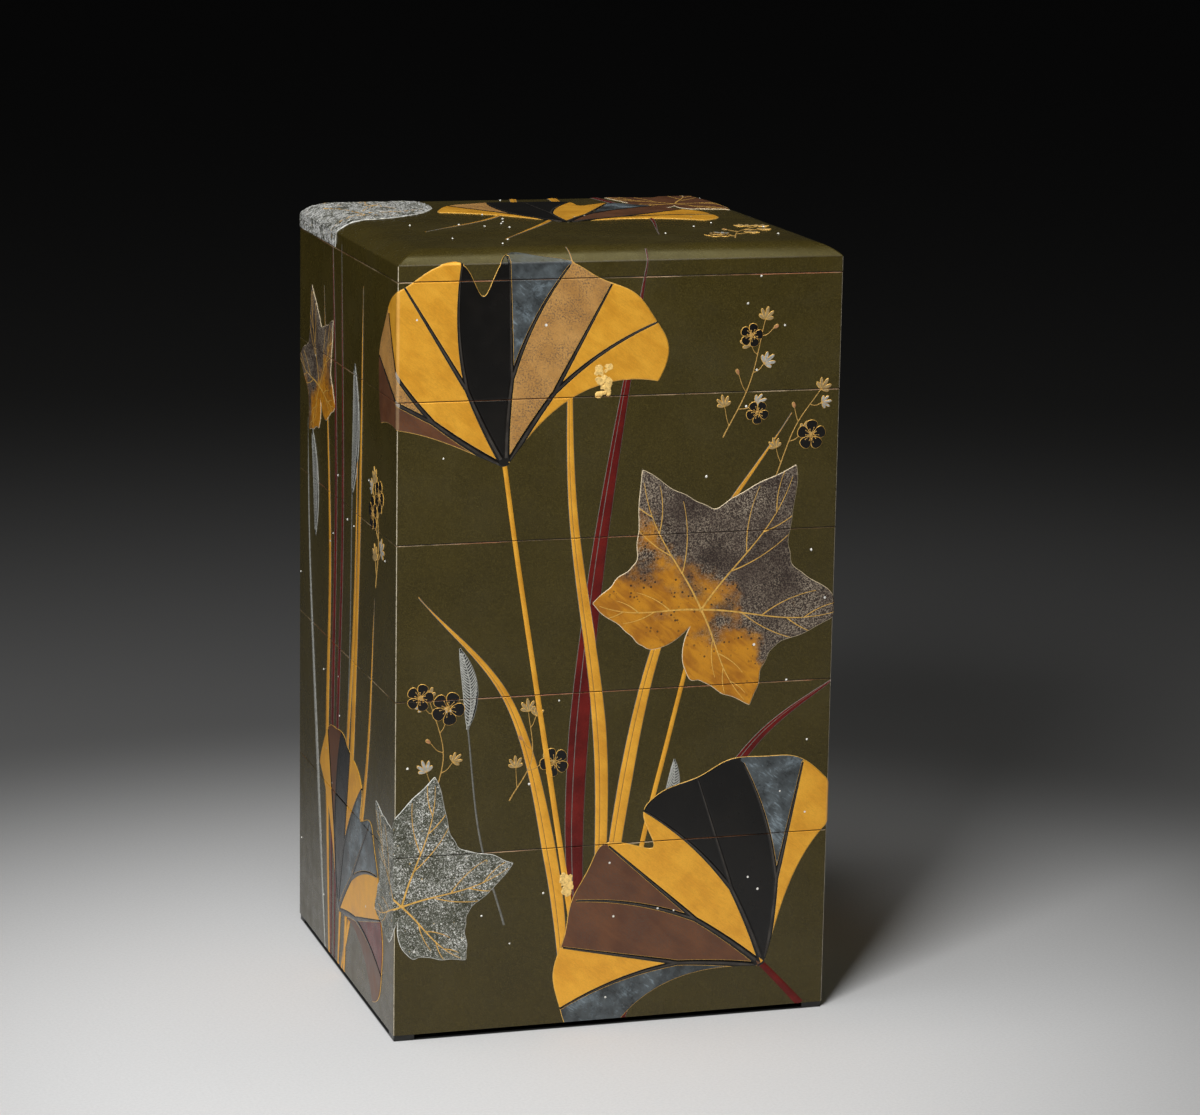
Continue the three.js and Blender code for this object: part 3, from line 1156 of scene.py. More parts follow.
def tier_rings(low, high, on_feet):
    """A tier's rings, from its underside round the outside and the rim to its inside."""
    lower = lower_edge(low)
    upper = [(inset, low + high - z, radius, lacquer) for inset, z, radius, lacquer in lower[::-1]]
    return ([] if on_feet else tongue(low - TONGUE, low)) + [
        (ARRIS + UNDER_EDGE, low, CORNER - 0.2, FOOT_LACQUER if on_feet else INSIDE_LACQUER),
        *lower,
        *upper,
        (WALL - INNER_EDGE, high, INSIDE_CORNER, INSIDE_LACQUER),
        (WALL, high - INNER_EDGE, INSIDE_CORNER, INSIDE_LACQUER),
        (WALL, low + (FLOOR if on_feet else FLOOR - TONGUE), INSIDE_CORNER, INSIDE_LACQUER),
    ]


def lid_rings():
    """The lid's rings, from its inside round the lip and the skirt to its flat top."""
    low = TIER_TOPS[-1]
    lip = TONGUE_INSET + LIP_THICKNESS
    rings = [(lip, z, INSIDE_CORNER, INSIDE_LACQUER) for z in (BOX_TOP - LID_THICKNESS, low - LIP)]
    rings += tongue(low - LIP, low) + lower_edge(low)
    insets = np.array([*CREASE_INSETS, *SHOULDER_INSETS, SHOULDER_INSET + 0.5])
    return rings + [(inset, z, CORNER, OLIVE_GROUND) for inset, z in zip(insets, shoulder(insets)[0])]


# Putting the picture on the box

LAID_OVER = {  # side: turn and shift from the side's plan to the lid's plan
    "front": (0.0, (-HALF_WIDTH, -HALF_DEPTH - SKIRT_TOP)),
    "right": (math.pi / 2, (HALF_WIDTH + SKIRT_TOP, -HALF_DEPTH - WIDTH)),
    "back": (math.pi, (HALF_WIDTH + WIDTH + DEPTH, HALF_DEPTH + SKIRT_TOP)),
    "left": (-math.pi / 2, (-HALF_WIDTH - SKIRT_TOP, -HALF_DEPTH)),
}


def turned_back(angle, shift):
    """The turn and shift that undo a turn and shift."""
    c, s = math.cos(-angle), math.sin(-angle)
    return -angle, (-(c * shift[0] - s * shift[1]), -(s * shift[0] + c * shift[1]))


def side_guides(side, low, high, seams):
    """Lines that a side is cut along: the facets of its corners, and its edge at each of the seams."""
    start, stop = SIDES[side]
    found = [np.array([(u, low), (u, high)]) for u in corner_places(start, stop)]
    for level in seams:
        way = 1 if level == low else -1
        found += [np.array([(start, level + way * d), (stop, level + way * d)]) for d in SEAM_STEPS]
    return found


def rolled(points, heights, seams):
    """The heights, rounded off to nothing at each of the seams."""
    away = np.min([np.abs(points[:, 1] - level) for level in seams], axis=0)
    return np.clip(heights, *LIFTS) * np.sin(np.clip(away / SEAM_STEPS[-1], 0, 1) * math.pi / 2)


def spread(low, high, bottom=TEXTURE_MARGIN, top=TEXTURE_END):
    """How a box of the plan is spread over the texture: over its width, and between two heights of it."""

    def place(points):
        corner, size = (TEXTURE_MARGIN, bottom), (TEXTURE_END - TEXTURE_MARGIN, top - bottom)
        return corner + size * ((points - low) / (np.array(high) - low))

    return place


def corner_fans():
    """Lines across the lid's corners, where its rounded outline turns."""
    found = []
    for side, (start, stop) in SIDES.items():
        u = corner_places(start, stop)
        outer, inner = (round_the_box(u, side, inset, CORNER)[0] for inset in (0, SHOULDER_INSET))
        found += [np.array(ends) for ends in zip(outer, inner)]
    return found


def add_side(relief, shapes, side, low, high, seams, levels, *texture):
    """Adds to a relief what the shapes put on a side between two heights.

    seams: the heights where it rolls off to nothing. levels: those of the ground's arrises.
    """
    start, stop = SIDES[side]
    laid = lay_out(shapes, (start, low), (stop, high), side_guides(side, low, high, seams))
    if laid is not None:
        points, triangles, lacquers, heights = laid
        heights = rolled(points, heights, seams)
        place = spread((start, low), (stop, high), *texture)
        relief.add(points, triangles, lacquers, heights, on_side(side, levels), place)


def side_pictures(shapes, materials):
    """The raised work of every tier and side, each a piece of its own."""
    made = []
    for tier, foot_level, rim_level in zip(TIERS, TIER_FEET, TIER_TOPS):
        seams = (foot_level + SEAM_GAP, rim_level - SEAM_GAP)
        for side in SIDES:
            relief = Relief()
            add_side(relief, shapes, side, *seams, seams, (foot_level, rim_level))
            made.append(relief.build(f"{tier}_{side}_picture", materials))
    return made


def lid_relief(sides, top, materials):
    """The raised work of the lid's skirt and top, as one piece."""
    relief = Relief()
    low, high = TIER_TOPS[-1] + SEAM_GAP, SKIRT_TOP
    for order, side in enumerate(SIDES):
        shapes = sides + [Turned(plate, *turned_back(*LAID_OVER[side])) for plate in top]
        bottom = TEXTURE_MARGIN + SKIRT_PITCH * order
        add_side(relief, shapes, side, low, high, (low,), (TIER_TOPS[-1],), bottom, bottom + SKIRT_BAND)
    tall = [plate for plate in sides if plate.high[1] > high]
    shapes = [Turned(plate, *LAID_OVER[side]) for side in SIDES for plate in tall] + top
    guides = [closed(loop_of(inset, CORNER)) for inset in (*CREASE_INSETS[1:], *SHOULDER_INSETS)]
    guides += corner_fans()
    ends = (-HALF_WIDTH, -HALF_DEPTH), (HALF_WIDTH, HALF_DEPTH)
    points, triangles, lacquers, heights = lay_out(shapes, *ends, guides)
    on_top = edge_inset(points[triangles].mean(1))[0] > 0
    heights = np.clip(heights, *LIFTS)
    relief.add(points, triangles[on_top], lacquers[on_top], heights, on_lid, spread(*ends, LID_TOP_START))
    return relief.build("lid_picture", materials)


# Lacquers

class Mix:
    """Puts nodes into a tree and joins them."""

    def __init__(self, tree):
        self.tree = tree

    def add(self, kind, inputs=None, **settings):
        node = self.tree.nodes.new(kind)
        for name, value in settings.items():
            setattr(node, name, value)
        for name, value in (inputs or {}).items():
            self.feed(node.inputs[name], value)
        return node

    def feed(self, socket, value):
        if isinstance(value, bpy.types.NodeSocket):
            self.tree.links.new(value, socket)
        else:
            socket.default_value = value

    def maths(self, operation, *values):
        node = self.tree.nodes.new("ShaderNodeMath")
        node.operation = operation
        for socket, value in zip(node.inputs, values):
            self.feed(socket, value)
        return node.outputs[0]

    def vector(self, operation, first, second=(0, 0, 0), output=0):
        return self.add("ShaderNodeVectorMath", {0: first, 1: second}, operation=operation).outputs[output]

    def colour(self, first, second, share):
        """The first colour, and the second where share is 1."""
        node = self.add("ShaderNodeMix", data_type="RGBA")
        for index, value in ((0, share), (6, first), (7, second)):
            self.feed(node.inputs[index], (*value, 1) if isinstance(value, tuple) else value)
        return node.outputs[2]

    def ease(self, value, low, high, start=0.0, end=1.0):
        """A value that goes smoothly from start to end while the given value goes from low to high."""
        inputs = {"Value": value, "From Min": low, "From Max": high, "To Min": start, "To Max": end}
        return self.add("ShaderNodeMapRange", inputs, interpolation_type="SMOOTHSTEP").outputs[0]

    def place(self):
        return self.add("ShaderNodeTexCoord").outputs["Object"]

    def patches(self, size, detail, rough, low, high, start=0.0, end=1.0):
        """Soft patches of start and of end. The noise goes from one to the other between low and high."""
        return self.ease(self.noise(size, detail, rough), low, high, start, end)

    def noise(self, size, detail=2.0, rough=0.5, twist=0.0):
        """Soft noise whose patches are about size millimetres across."""
        inputs = {"Vector": self.place(), "Scale": 1 / MM / size, "Detail": detail, "Roughness": rough}
        return self.add("ShaderNodeTexNoise", {**inputs, "Distortion": twist}).outputs["Fac"]


def shared(name, inputs, outputs):
    """A new node group for a shared effect: what adds nodes to it, what it is given, and where its results go.

    inputs: the usual value of each input. outputs: their names.
    """
    tree = bpy.data.node_groups.new(name, "ShaderNodeTree")
    for title, value in inputs.items():
        socket = tree.interface.new_socket(name=title, in_out="INPUT", socket_type="NodeSocketFloat")
        socket.default_value = value
    for title in outputs:
        tree.interface.new_socket(name=title, in_out="OUTPUT", socket_type="NodeSocketFloat")
    mix = Mix(tree)
    return mix, mix.add("NodeGroupInput").outputs, mix.add("NodeGroupOutput").inputs


def specks_group():
    """Scattered round specks: Size in millimetres, Share of the places that have one, Soft edge."""
    mix, given, result = shared("specks", {"Size": 1.0, "Share": 0.3, "Soft": 0.1}, ["Mask"])
    scale = mix.maths("DIVIDE", 1 / MM, given["Size"])
    cells = mix.add("ShaderNodeTexVoronoi", {"Vector": mix.place(), "Scale": scale, "Randomness": 1.0})
    draw = mix.add("ShaderNodeSeparateColor", {"Color": cells.outputs["Color"]}).outputs
    radius = mix.maths("MULTIPLY_ADD", draw["Green"], 0.22, 0.14)
    inner = mix.maths("SUBTRACT", radius, given["Soft"])
    away = cells.outputs["Distance"]
    ends = {"Value": away, "From Min": inner, "From Max": radius, "To Min": 1.0, "To Max": 0.0}
    round_speck = mix.add("ShaderNodeMapRange", ends).outputs[0]
    there = mix.maths("LESS_THAN", draw["Red"], given["Share"])
    mix.feed(result["Mask"], mix.maths("MULTIPLY", round_speck, there))
    return mix.tree


def brushed_group():
    """Slanting brush marks: Length and Breadth of a mark in millimetres."""
    mix, given, result = shared("brush marks", {"Length": 30.0, "Breadth": 3.0, "Contrast": 1.0}, ["Value"])
    slant = {"Vector": mix.place(), "Axis": (0.2, 1.0, 0.1), "Angle": 0.9}
    slanting = mix.add("ShaderNodeVectorRotate", slant).outputs[0]
    across = mix.maths("DIVIDE", 1 / MM, given["Breadth"])
    along = mix.maths("DIVIDE", 1 / MM, given["Length"])
    scale = mix.add("ShaderNodeCombineXYZ", {"X": across, "Y": across, "Z": along}).outputs[0]
    drawn = mix.vector("MULTIPLY", slanting, scale)
    marks = {"Vector": drawn, "Scale": 1.0, "Detail": 4.0, "Distortion": 0.6}
    marks = mix.add("ShaderNodeTexNoise", marks).outputs["Fac"]
    both = mix.maths("MULTIPLY_ADD", mix.noise(14, 3), 0.5, mix.maths("MULTIPLY", marks, 0.5))
    off_middle = mix.maths("SUBTRACT", both, 0.5)
    mix.feed(result["Value"], mix.maths("MULTIPLY_ADD", off_middle, given["Contrast"], 0.5))
    return mix.tree


SEAM_SHADE_MIDDLE, SEAM_SHADE_HALF = 0.19, 0.26  # the painted shade in the gap at each seam, from its rim upwards


def worn_group():
    """Wear along the upright corners and the rims, the rims also a painted highlight of the lit arris below
    each seam, and painted shade in the seams: Reach in millimetres, and Wear from 0 to 1.
    """
    results = ["Corners", "Worn_lit_rims", "Seam_shade", "Paler"]
    mix, given, result = shared("worn edges", {"Reach": 0.6, "Wear": 0.7}, results)
    x, y, z = mix.add("ShaderNodeSeparateXYZ", {"Vector": mix.place()}).outputs
    reach = mix.maths("MULTIPLY", given["Reach"], MM)
    out = mix.maths("ADD", mix.maths("ABSOLUTE", x), mix.maths("ABSOLUTE", y))
    tip = (HALF_WIDTH + HALF_DEPTH - 2 * CORNER_CUT) * MM
    deep = mix.maths("DIVIDE", mix.maths("SUBTRACT", tip, out), mix.maths("MULTIPLY", reach, 0.13))
    bias = mix.maths("MULTIPLY_ADD", given["Wear"], 1.2, -1.3)
    fray = mix.maths("MULTIPLY_ADD", mix.noise(2.2, 4, 0.7), 1.6, bias)
    mix.feed(result["Corners"], mix.ease(mix.maths("SUBTRACT", fray, deep), -0.15, 0.25))
    worn_lit_rims = seam_shade = None
    # Below each seam the worn rim band lies on the lit arris, so it is also a painted highlight there. Just
    # above the rim, a band of painted shade fills the seam's gap.
    for level in TIER_TOPS:
        above = mix.maths("SUBTRACT", z, level * MM)
        rim = mix.maths("MAXIMUM", mix.maths("MULTIPLY", above, -1.0), mix.maths("MULTIPLY", above, 5.0))
        away = mix.maths("ABSOLUTE", mix.maths("SUBTRACT", above, SEAM_SHADE_MIDDLE * MM))
        worn_lit_rims = rim if worn_lit_rims is None else mix.maths("MINIMUM", worn_lit_rims, rim)
        seam_shade = away if seam_shade is None else mix.maths("MINIMUM", seam_shade, away)
    worn_lit_rims = mix.maths("DIVIDE", worn_lit_rims, reach)
    bias = mix.maths("MULTIPLY_ADD", given["Wear"], 1.2, -0.75)
    calm = mix.maths("MULTIPLY_ADD", mix.noise(6, 4, 0.7), 0.7, bias)
    handled = mix.ease(mix.maths("ABSOLUTE", x), (HALF_WIDTH - 2) * MM, (HALF_WIDTH - 0.5) * MM, 1.0, 0.5)
    fresh = mix.maths("MULTIPLY", mix.patches(48, 3, 0.65, 0.42, 0.62, 0.08, 0.95), handled)
    worn = mix.ease(mix.maths("SUBTRACT", calm, worn_lit_rims), -0.15, 0.15)
    mix.feed(result["Worn_lit_rims"], mix.maths("MULTIPLY", worn, fresh))
    mix.feed(result["Seam_shade"], mix.ease(seam_shade, 1.15 * SEAM_SHADE_HALF * MM, 0.8 * SEAM_SHADE_HALF * MM))
    mix.feed(result["Paler"], mix.patches(70, 3, 0.6, 0.43, 0.65))
    return mix.tree


def haze_group():
    """Thin pale haze, as of old dust rubbed thin: Amount from 0 to 1."""
    mix, given, result = shared("haze", {"Amount": 0.5}, ["Mask"])
    wide = mix.patches(55, 3, 0.6, 0.42, 0.75)
    fine = mix.patches(2.5, 4, 0.7, 0.3, 0.8, 0.4, 1.0)
    mix.feed(result["Mask"], mix.maths("MULTIPLY", mix.maths("MULTIPLY", wide, fine), given["Amount"]))
    return mix.tree


SHARED = {"specks": specks_group(), "brushed": brushed_group(), "worn": worn_group(), "haze": haze_group()}


class Lacquer(Mix):
    """A material with one Principled shader, whose plain values are set on its own sockets."""

    def __init__(self, name, **plain):
        self.material = bpy.data.materials.new(name)
        self.material.use_nodes = True
        super().__init__(self.material.node_tree)
        self.shader = self.tree.nodes["Principled BSDF"]
        for title, value in plain.items():
            self.shader.inputs[title.replace("_", " ")].default_value = value

    def group(self, name, **inputs):
        """The outputs of a shared effect with these inputs."""
        node = self.add("ShaderNodeGroup", node_tree=SHARED[name])
        for title, value in inputs.items():
            node.inputs[title].default_value = value
        return node.outputs

    def wear(self, base, reach, wear, rim, rim_share, corner=(0, 0, 0), corner_share=0.0):
        """The base colour with another one on its worn corners and on its worn rims, which are also a painted
        highlight of the lit arris, and painted shade in the seams.
        """
        worn = self.group("worn", Reach=reach, Wear=wear)
        if rim == "bare":
            rim = self.colour((0.33, 0.13, 0.06), (0.56, 0.42, 0.26), worn["Paler"])
        # Worn rims, which are also a painted highlight of the lit arris.
        base = self.colour(base, rim, self.maths("MULTIPLY", worn["Worn_lit_rims"], rim_share))
        # Painted shade in the gap at each seam.
        base = self.colour(base, (0.005, 0.003, 0.002), self.maths("MULTIPLY", worn["Seam_shade"], 0.92))
        return self.colour(base, corner, self.maths("MULTIPLY", worn["Corners"], corner_share))

    def finish(self, colour, rough, bump=None, depth=0.0):
        """Feeds the shader. depth is the bump's height in millimetres."""
        self.feed(self.shader.inputs["Base Color"], colour)
        self.feed(self.shader.inputs["Roughness"], rough)
        if bump is not None:
            node = self.add("ShaderNodeBump", {"Height": bump, "Distance": depth * MM, "Strength": 1.0})
            self.feed(self.shader.inputs["Normal"], node.outputs[0])
        return self.material


def olive_ground():
    """The ground: dark olive lacquer with the finest gold dust in it, worn to tan along the edges."""
    mix = Lacquer("olive_ground", Coat_Weight=0.04, Coat_Roughness=0.12, Specular_IOR_Level=0.3)
    cloudy = mix.patches(38, 4, 0.6, 0.3, 0.7)
    base = mix.colour((0.030, 0.0220, 0.0036), (0.039, 0.0285, 0.0048), cloudy)
    dust = mix.patches(0.36, 2, 0.6, 0.46, 0.66)
    base = mix.colour(base, (0.128, 0.097, 0.022), mix.maths("MULTIPLY", dust, 0.40))
    haze = mix.group("haze", Amount=0.5)["Mask"]
    base = mix.colour(base, (0.16, 0.15, 0.10), mix.maths("MULTIPLY", haze, 0.14))
    base = mix.wear(base, 0.8, 0.8, "bare", 0.92, (0.50, 0.44, 0.33), 0.92)
    rough = mix.patches(9, 4, 0.6, 0.3, 0.75, 0.22, 0.32)
    rough = mix.maths("MULTIPLY_ADD", haze, 0.2, rough)
    return mix.finish(base, rough, mix.noise(0.5, 2), 0.006)


def inside_lacquer():
    mix = Lacquer("inside_lacquer", Coat_Weight=0.3, Coat_Roughness=0.1)
    base = mix.colour((0.010, 0.009, 0.008), (0.018, 0.016, 0.013), mix.patches(30, 4, 0.5, 0.3, 0.7))
    base = mix.wear(base, 0.4, 0.5, (0.16, 0.11, 0.06), 0.5)
    return mix.finish(base, mix.patches(12, 3, 0.5, 0.3, 0.7, 0.2, 0.34), mix.noise(4, 3), 0.01)


def foot_lacquer():
    mix = Lacquer("foot_lacquer")
    base = mix.colour((0.006, 0.006, 0.005), (0.03, 0.026, 0.02), mix.patches(3, 4, 0.7, 0.5, 0.8))
    return mix.finish(base, mix.patches(5, 3, 0.5, 0.3, 0.7, 0.3, 0.55), mix.noise(0.8, 3), 0.01)


def gold_lacquer(name, deep, bright, metal=0.3, rough=(0.32, 0.46), dark_specks=0.0):
    """Metal powder under clear lacquer, laid with a brush."""
    mix = Lacquer(name, Metallic=metal, Coat_Weight=0.1, Coat_Roughness=0.15)
    marks = mix.group("brushed", Length=46.0, Breadth=5.0, Contrast=1.0)["Value"]
    base = mix.colour(deep, bright, mix.ease(marks, 0.3, 0.7))
    strokes = mix.group("brushed", Length=12.0, Breadth=0.7, Contrast=1.6)["Value"]
    base = mix.colour(base, tuple(c * 0.7 for c in deep), mix.ease(strokes, 0.62, 0.25, 0.0, 0.35))
    grain = mix.patches(0.45, 2, 0.6, 0.4, 0.7)
    base = mix.colour(base, tuple(c * 0.66 for c in deep), mix.maths("MULTIPLY", grain, 0.25))
    if dark_specks:
        specks = mix.patches(0.95, 4, 0.75, 0.46, 0.62)
        patch = mix.patches(17, 5, 0.7, 0.36, 0.62, 0.12, 0.9)
        share = mix.maths("MULTIPLY", mix.maths("MULTIPLY", specks, patch), dark_specks)
        base = mix.colour(base, (0.075, 0.06, 0.05), share)
    base = mix.wear(base, 0.5, 0.62, (0.24, 0.06, 0.02), 0.8, (0.80, 0.62, 0.36), 0.15)
    return mix.finish(base, mix.ease(marks, 0.2, 0.8, *rough), mix.noise(0.7, 4, 0.6), 0.012)


def plain_lacquer(name, dark, light, rough=(0.16, 0.3), blot=18, coat=0.1, gloss=0.3, pale=None):
    """Coloured lacquer, a little uneven in tone. pale adds rubbed patches and slanting strokes."""
    mix = Lacquer(name, Coat_Weight=coat, Coat_Roughness=0.1, Specular_IOR_Level=gloss)
    cloudy = mix.patches(blot, 5, 0.65, 0.32, 0.7)
    base = mix.colour(dark, light, cloudy)
    if pale:
        rubbed = mix.ease(mix.noise(26, 8, 0.78, twist=0.4), 0.50, 0.70)
        base = mix.colour(base, pale, mix.maths("MULTIPLY", rubbed, 0.62))
        strokes = mix.group("brushed", Length=40.0, Breadth=0.9, Contrast=2.2)["Value"]
        base = mix.colour(base, pale, mix.ease(strokes, 0.60, 0.85, 0.0, 0.55))
        base = mix.colour(base, tuple(c * 0.5 for c in dark), mix.ease(strokes, 0.40, 0.15, 0.0, 0.6))
    base = mix.wear(base, 0.6, 0.66, (0.30, 0.115, 0.045), 0.8, (0.5, 0.42, 0.34), 0.6)
    return mix.finish(base, mix.patches(7, 3, 0.5, 0.3, 0.7, *rough), mix.noise(1.2, 4), 0.008)


def speckled_leaf(name, middle, way):
    """A leaf that goes from gold to dark brown along way.

    Black specks crowd where the two meet, and the brown is covered with fine pale flecks.
    """
    mix = Lacquer(name, Metallic=0.2, Coat_Weight=0.1, Coat_Roughness=0.2)
    along = mix.vector("DOT_PRODUCT", mix.vector("SUBTRACT", mix.place(), middle), way, "Value")
    wander = mix.maths("MULTIPLY_ADD", mix.noise(30, 5, 0.6), 0.12, mix.maths("ADD", along, -0.060))
    brown = mix.ease(wander, -0.012, 0.012)
    marks = mix.group("brushed", Length=20.0, Breadth=3.0, Contrast=1.6)["Value"]
    gold = mix.colour((0.40, 0.145, 0.007), (0.62, 0.26, 0.012), mix.ease(marks, 0.3, 0.7))
    scratches = mix.ease(mix.noise(1.1, 6, 0.8, twist=1.0), 0.56, 0.7)
    gold = mix.colour(gold, (0.20, 0.075, 0.012), mix.maths("MULTIPLY", scratches, 0.5))
    cloudy = mix.patches(20, 4, 0.6, 0.35, 0.65)
    shade = mix.colour((0.030, 0.017, 0.013), (0.055, 0.036, 0.028), cloudy)
    flecks = mix.ease(mix.noise(0.85, 3, 0.6, twist=0.8), 0.47, 0.58)
    thick = mix.patches(24, 3, 0.6, 0.32, 0.64, 0.2, 0.92)
    shade = mix.colour(shade, (0.39, 0.32, 0.235), mix.maths("MULTIPLY", flecks, thick))
    base = mix.colour(gold, shade, brown)
    crowd = mix.group("specks", Size=1.15, Share=0.75, Soft=0.08)["Mask"]
    few = mix.group("specks", Size=1.9, Share=0.55, Soft=0.05)["Mask"]
    near = mix.ease(wander, -0.030, -0.006)
    share = mix.maths("MAXIMUM", mix.maths("MULTIPLY", crowd, brown), mix.maths("MULTIPLY", few, near))
    base = mix.colour(base, (0.020, 0.014, 0.010), mix.maths("MULTIPLY", share, 0.9))
    base = mix.wear(base, 0.5, 0.6, (0.22, 0.08, 0.03), 0.8)
    return mix.finish(base, mix.patches(3, 3, 0.5, 0.3, 0.7, 0.36, 0.55), flecks, 0.02)


def silver_leaf(name, grain, cover, depth, ridges=0.0):
    """Crumpled silver leaf and powder over olive, as white grains that are denser in some places.

    grain: size of the grains. cover: how much of the ground they hide. depth: their height. ridges: how
    bright the folds are.
    """
    mix = Lacquer(name, Metallic=0.3, Specular_IOR_Level=0.4)
    cloudy = mix.patches(grain * 7, 5, 0.7, 0.35, 0.7)
    ground = mix.colour((0.042, 0.043, 0.024), (0.12, 0.125, 0.095), cloudy)
    grains = mix.noise(grain, 3, 0.65, twist=0.9)
    thick = mix.patches(grain * 26, 6, 0.75, 0.34, 0.64, -0.055, 0.045)
    level = mix.maths("SUBTRACT", mix.maths("ADD", grains, thick), 0.60 - 0.12 * cover)
    base = mix.colour(ground, (0.36, 0.36, 0.315), mix.ease(level, -0.035, 0.02))
    base = mix.colour(base, (0.92, 0.92, 0.88), mix.ease(level, 0.05, 0.10))
    if ridges:
        folds = mix.maths("ABSOLUTE", mix.maths("SUBTRACT", mix.noise(7, 6, 0.7, twist=1.2), 0.5))
        folds = mix.ease(folds, 0.06, 0.012)
        base = mix.colour(base, (0.97, 0.97, 0.94), mix.maths("MULTIPLY", folds, ridges))
        grains = mix.maths("MULTIPLY_ADD", folds, 0.5, grains)
    glints = mix.group("specks", Size=2.2, Share=0.12, Soft=0.08)["Mask"]
    base = mix.colour(base, (0.6, 0.42, 0.14), mix.maths("MULTIPLY", glints, 0.6))
    base = mix.wear(base, 0.6, 0.66, (0.40, 0.34, 0.26), 0.75)
    return mix.finish(base, mix.ease(grains, 0.3, 0.7, 0.6, 0.34), grains, depth)


def plain_line(name, colour, metal, rough, depth=0.01):
    """A thin line or rim drawn with fine powder, or a flake. depth: how uneven its surface is."""
    mix = Lacquer(name, Metallic=metal)
    base = mix.colour(tuple(c * 0.6 for c in colour), colour, mix.patches(1.6, 4, 0.7, 0.3, 0.62))
    rough = mix.patches(2, 2, 0.5, 0.3, 0.7, rough, rough + 0.15)
    return mix.finish(base, rough, mix.noise(0.9, 3), depth)


def facing(side, u, v):
    """The place in space of a point on a side's plan."""
    spot = on_side(side)(np.array([[u, v]], float), np.zeros(1))[0]
    return tuple(float(c) * MM for c in spot)


def mix_lacquers():
    """Every material, by its name."""
    found = [
        olive_ground(),
        inside_lacquer(),
        foot_lacquer(),
        gold_lacquer("gold_lacquer", (0.80, 0.355, 0.024), (0.93, 0.465, 0.042)),
        gold_lacquer("tan_lacquer", (0.47, 0.230, 0.058), (0.60, 0.320, 0.090), 0.15, (0.4, 0.55), 1.0),
        gold_lacquer("brown_lacquer", (0.105, 0.036, 0.013), (0.16, 0.060, 0.022), 0.15, (0.34, 0.5), 0.6),
        plain_lacquer("slate_lacquer", (0.032, 0.036, 0.037), (0.092, 0.108, 0.115), (0.24, 0.4), 14,
                      pale=(0.27, 0.335, 0.375)),
        plain_lacquer("black_lacquer", (0.0045, 0.004, 0.0035), (0.008, 0.0068, 0.0055), (0.18, 0.28), 30),
        # The ribs' paler crowns: a painted highlight.
        plain_lacquer("rib_lacquer", (0.024, 0.020, 0.017), (0.052, 0.045, 0.037), (0.2, 0.3), 9),
        plain_lacquer("red_lacquer", (0.075, 0.0045, 0.0035), (0.150, 0.010, 0.007), (0.24, 0.34), 22,
                      coat=0.05, gloss=0.22),
        plain_lacquer("plume_shade", (0.012, 0.013, 0.012), (0.03, 0.031, 0.028), (0.3, 0.4), 5),
        speckled_leaf("speckled_front", facing("front", 172, 226), (0.62, 0.0, 0.78)),
        speckled_leaf("speckled_left", facing("left", -176, 322), (0.0, 0.55, 0.83)),
        speckled_leaf("speckled_right", facing("right", WIDTH + 168, 96), (0.0, 0.55, 0.83)),
        silver_leaf("silver_leaf", 0.72, 0.5, 0.12),
        silver_leaf("rough_silver", 1.25, 0.45, 0.7, ridges=0.9),
        plain_line("silver_line", (0.55, 0.55, 0.50), 0.4, 0.35),
        plain_line("grey_line", (0.20, 0.195, 0.17), 0.3, 0.4),
        plain_line(FINE_GOLD, (0.86, 0.50, 0.11), 0.35, 0.32),
        plain_line(STEM, (0.62, 0.37, 0.10), 0.3, 0.4),
        plain_line("bud_tan", (0.55, 0.26, 0.11), 0.2, 0.4),
        plain_line("pale_gold", (0.44, 0.31, 0.14), 0.3, 0.42),
        # The pale and silver rims are painted highlights along the leaves' raised edges.
        plain_line("pale_rim", (0.86, 0.70, 0.46), 0.2, 0.3),
        plain_line("silver_dot", (0.93, 0.91, 0.84), 0.15, 0.25),
        plain_line("silver_rim", (0.80, 0.80, 0.74), 0.2, 0.3),
        plain_line("gold_flake", (1.0, 0.66, 0.21), 0.12, 0.28, 0.2),
        plain_line("fold_brown", (0.36, 0.19, 0.045), 0.2, 0.4),
    ]
    return {material.name: material for material in found}


lacquers = mix_lacquers()

shells = {}
for tier, foot_level, rim_level in zip(TIERS, TIER_FEET, TIER_TOPS):
    on_feet = tier == TIERS[0]
    feet = FOOT_CORNERS if on_feet else ()
    shells[tier] = shell(f"{tier}_shell", tier_rings(foot_level, rim_level, on_feet), lacquers, feet)
shells["lid"] = shell("lid_shell", lid_rings(), lacquers)
for node, piece in shells.items():
    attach(piece, "root")
    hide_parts(node)

side_shapes = left_picture() + front_picture() + right_picture() + back_picture()
side_shapes += silver_dots((-DEPTH, 10), (WIDTH + WIDTH + DEPTH, 404), 110, 61)
around = 2 * (WIDTH + DEPTH)
side_shapes += [Turned(s, 0.0, (around, 0.0)) for s in side_shapes if s.low[0] < -DEPTH]
dots_end = np.array([HALF_WIDTH, HALF_DEPTH]) - 5
top_shapes = lid_picture() + silver_dots(-dots_end, dots_end, 26, 62)

for piece in [*side_pictures(side_shapes, lacquers), lid_relief(side_shapes, top_shapes, lacquers)]:
    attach(piece, "root")


# Camera, floor and light

PHOTO_WIDTH = 1200  # pixels
FOCAL_PIXELS = 3881.387
UNIT = 0.242  # metres: the fitted camera's unit is the box's width
AZIMUTH, ELEVATION, ROLL = math.radians(17.094), math.radians(11.929), math.radians(0.981)
DISTANCE, SHIFT_RIGHT, SHIFT_UP, AIM_HEIGHT = 8.866660, 0.096877, 0.048093, 0.9  # in that unit
SENSOR = 36


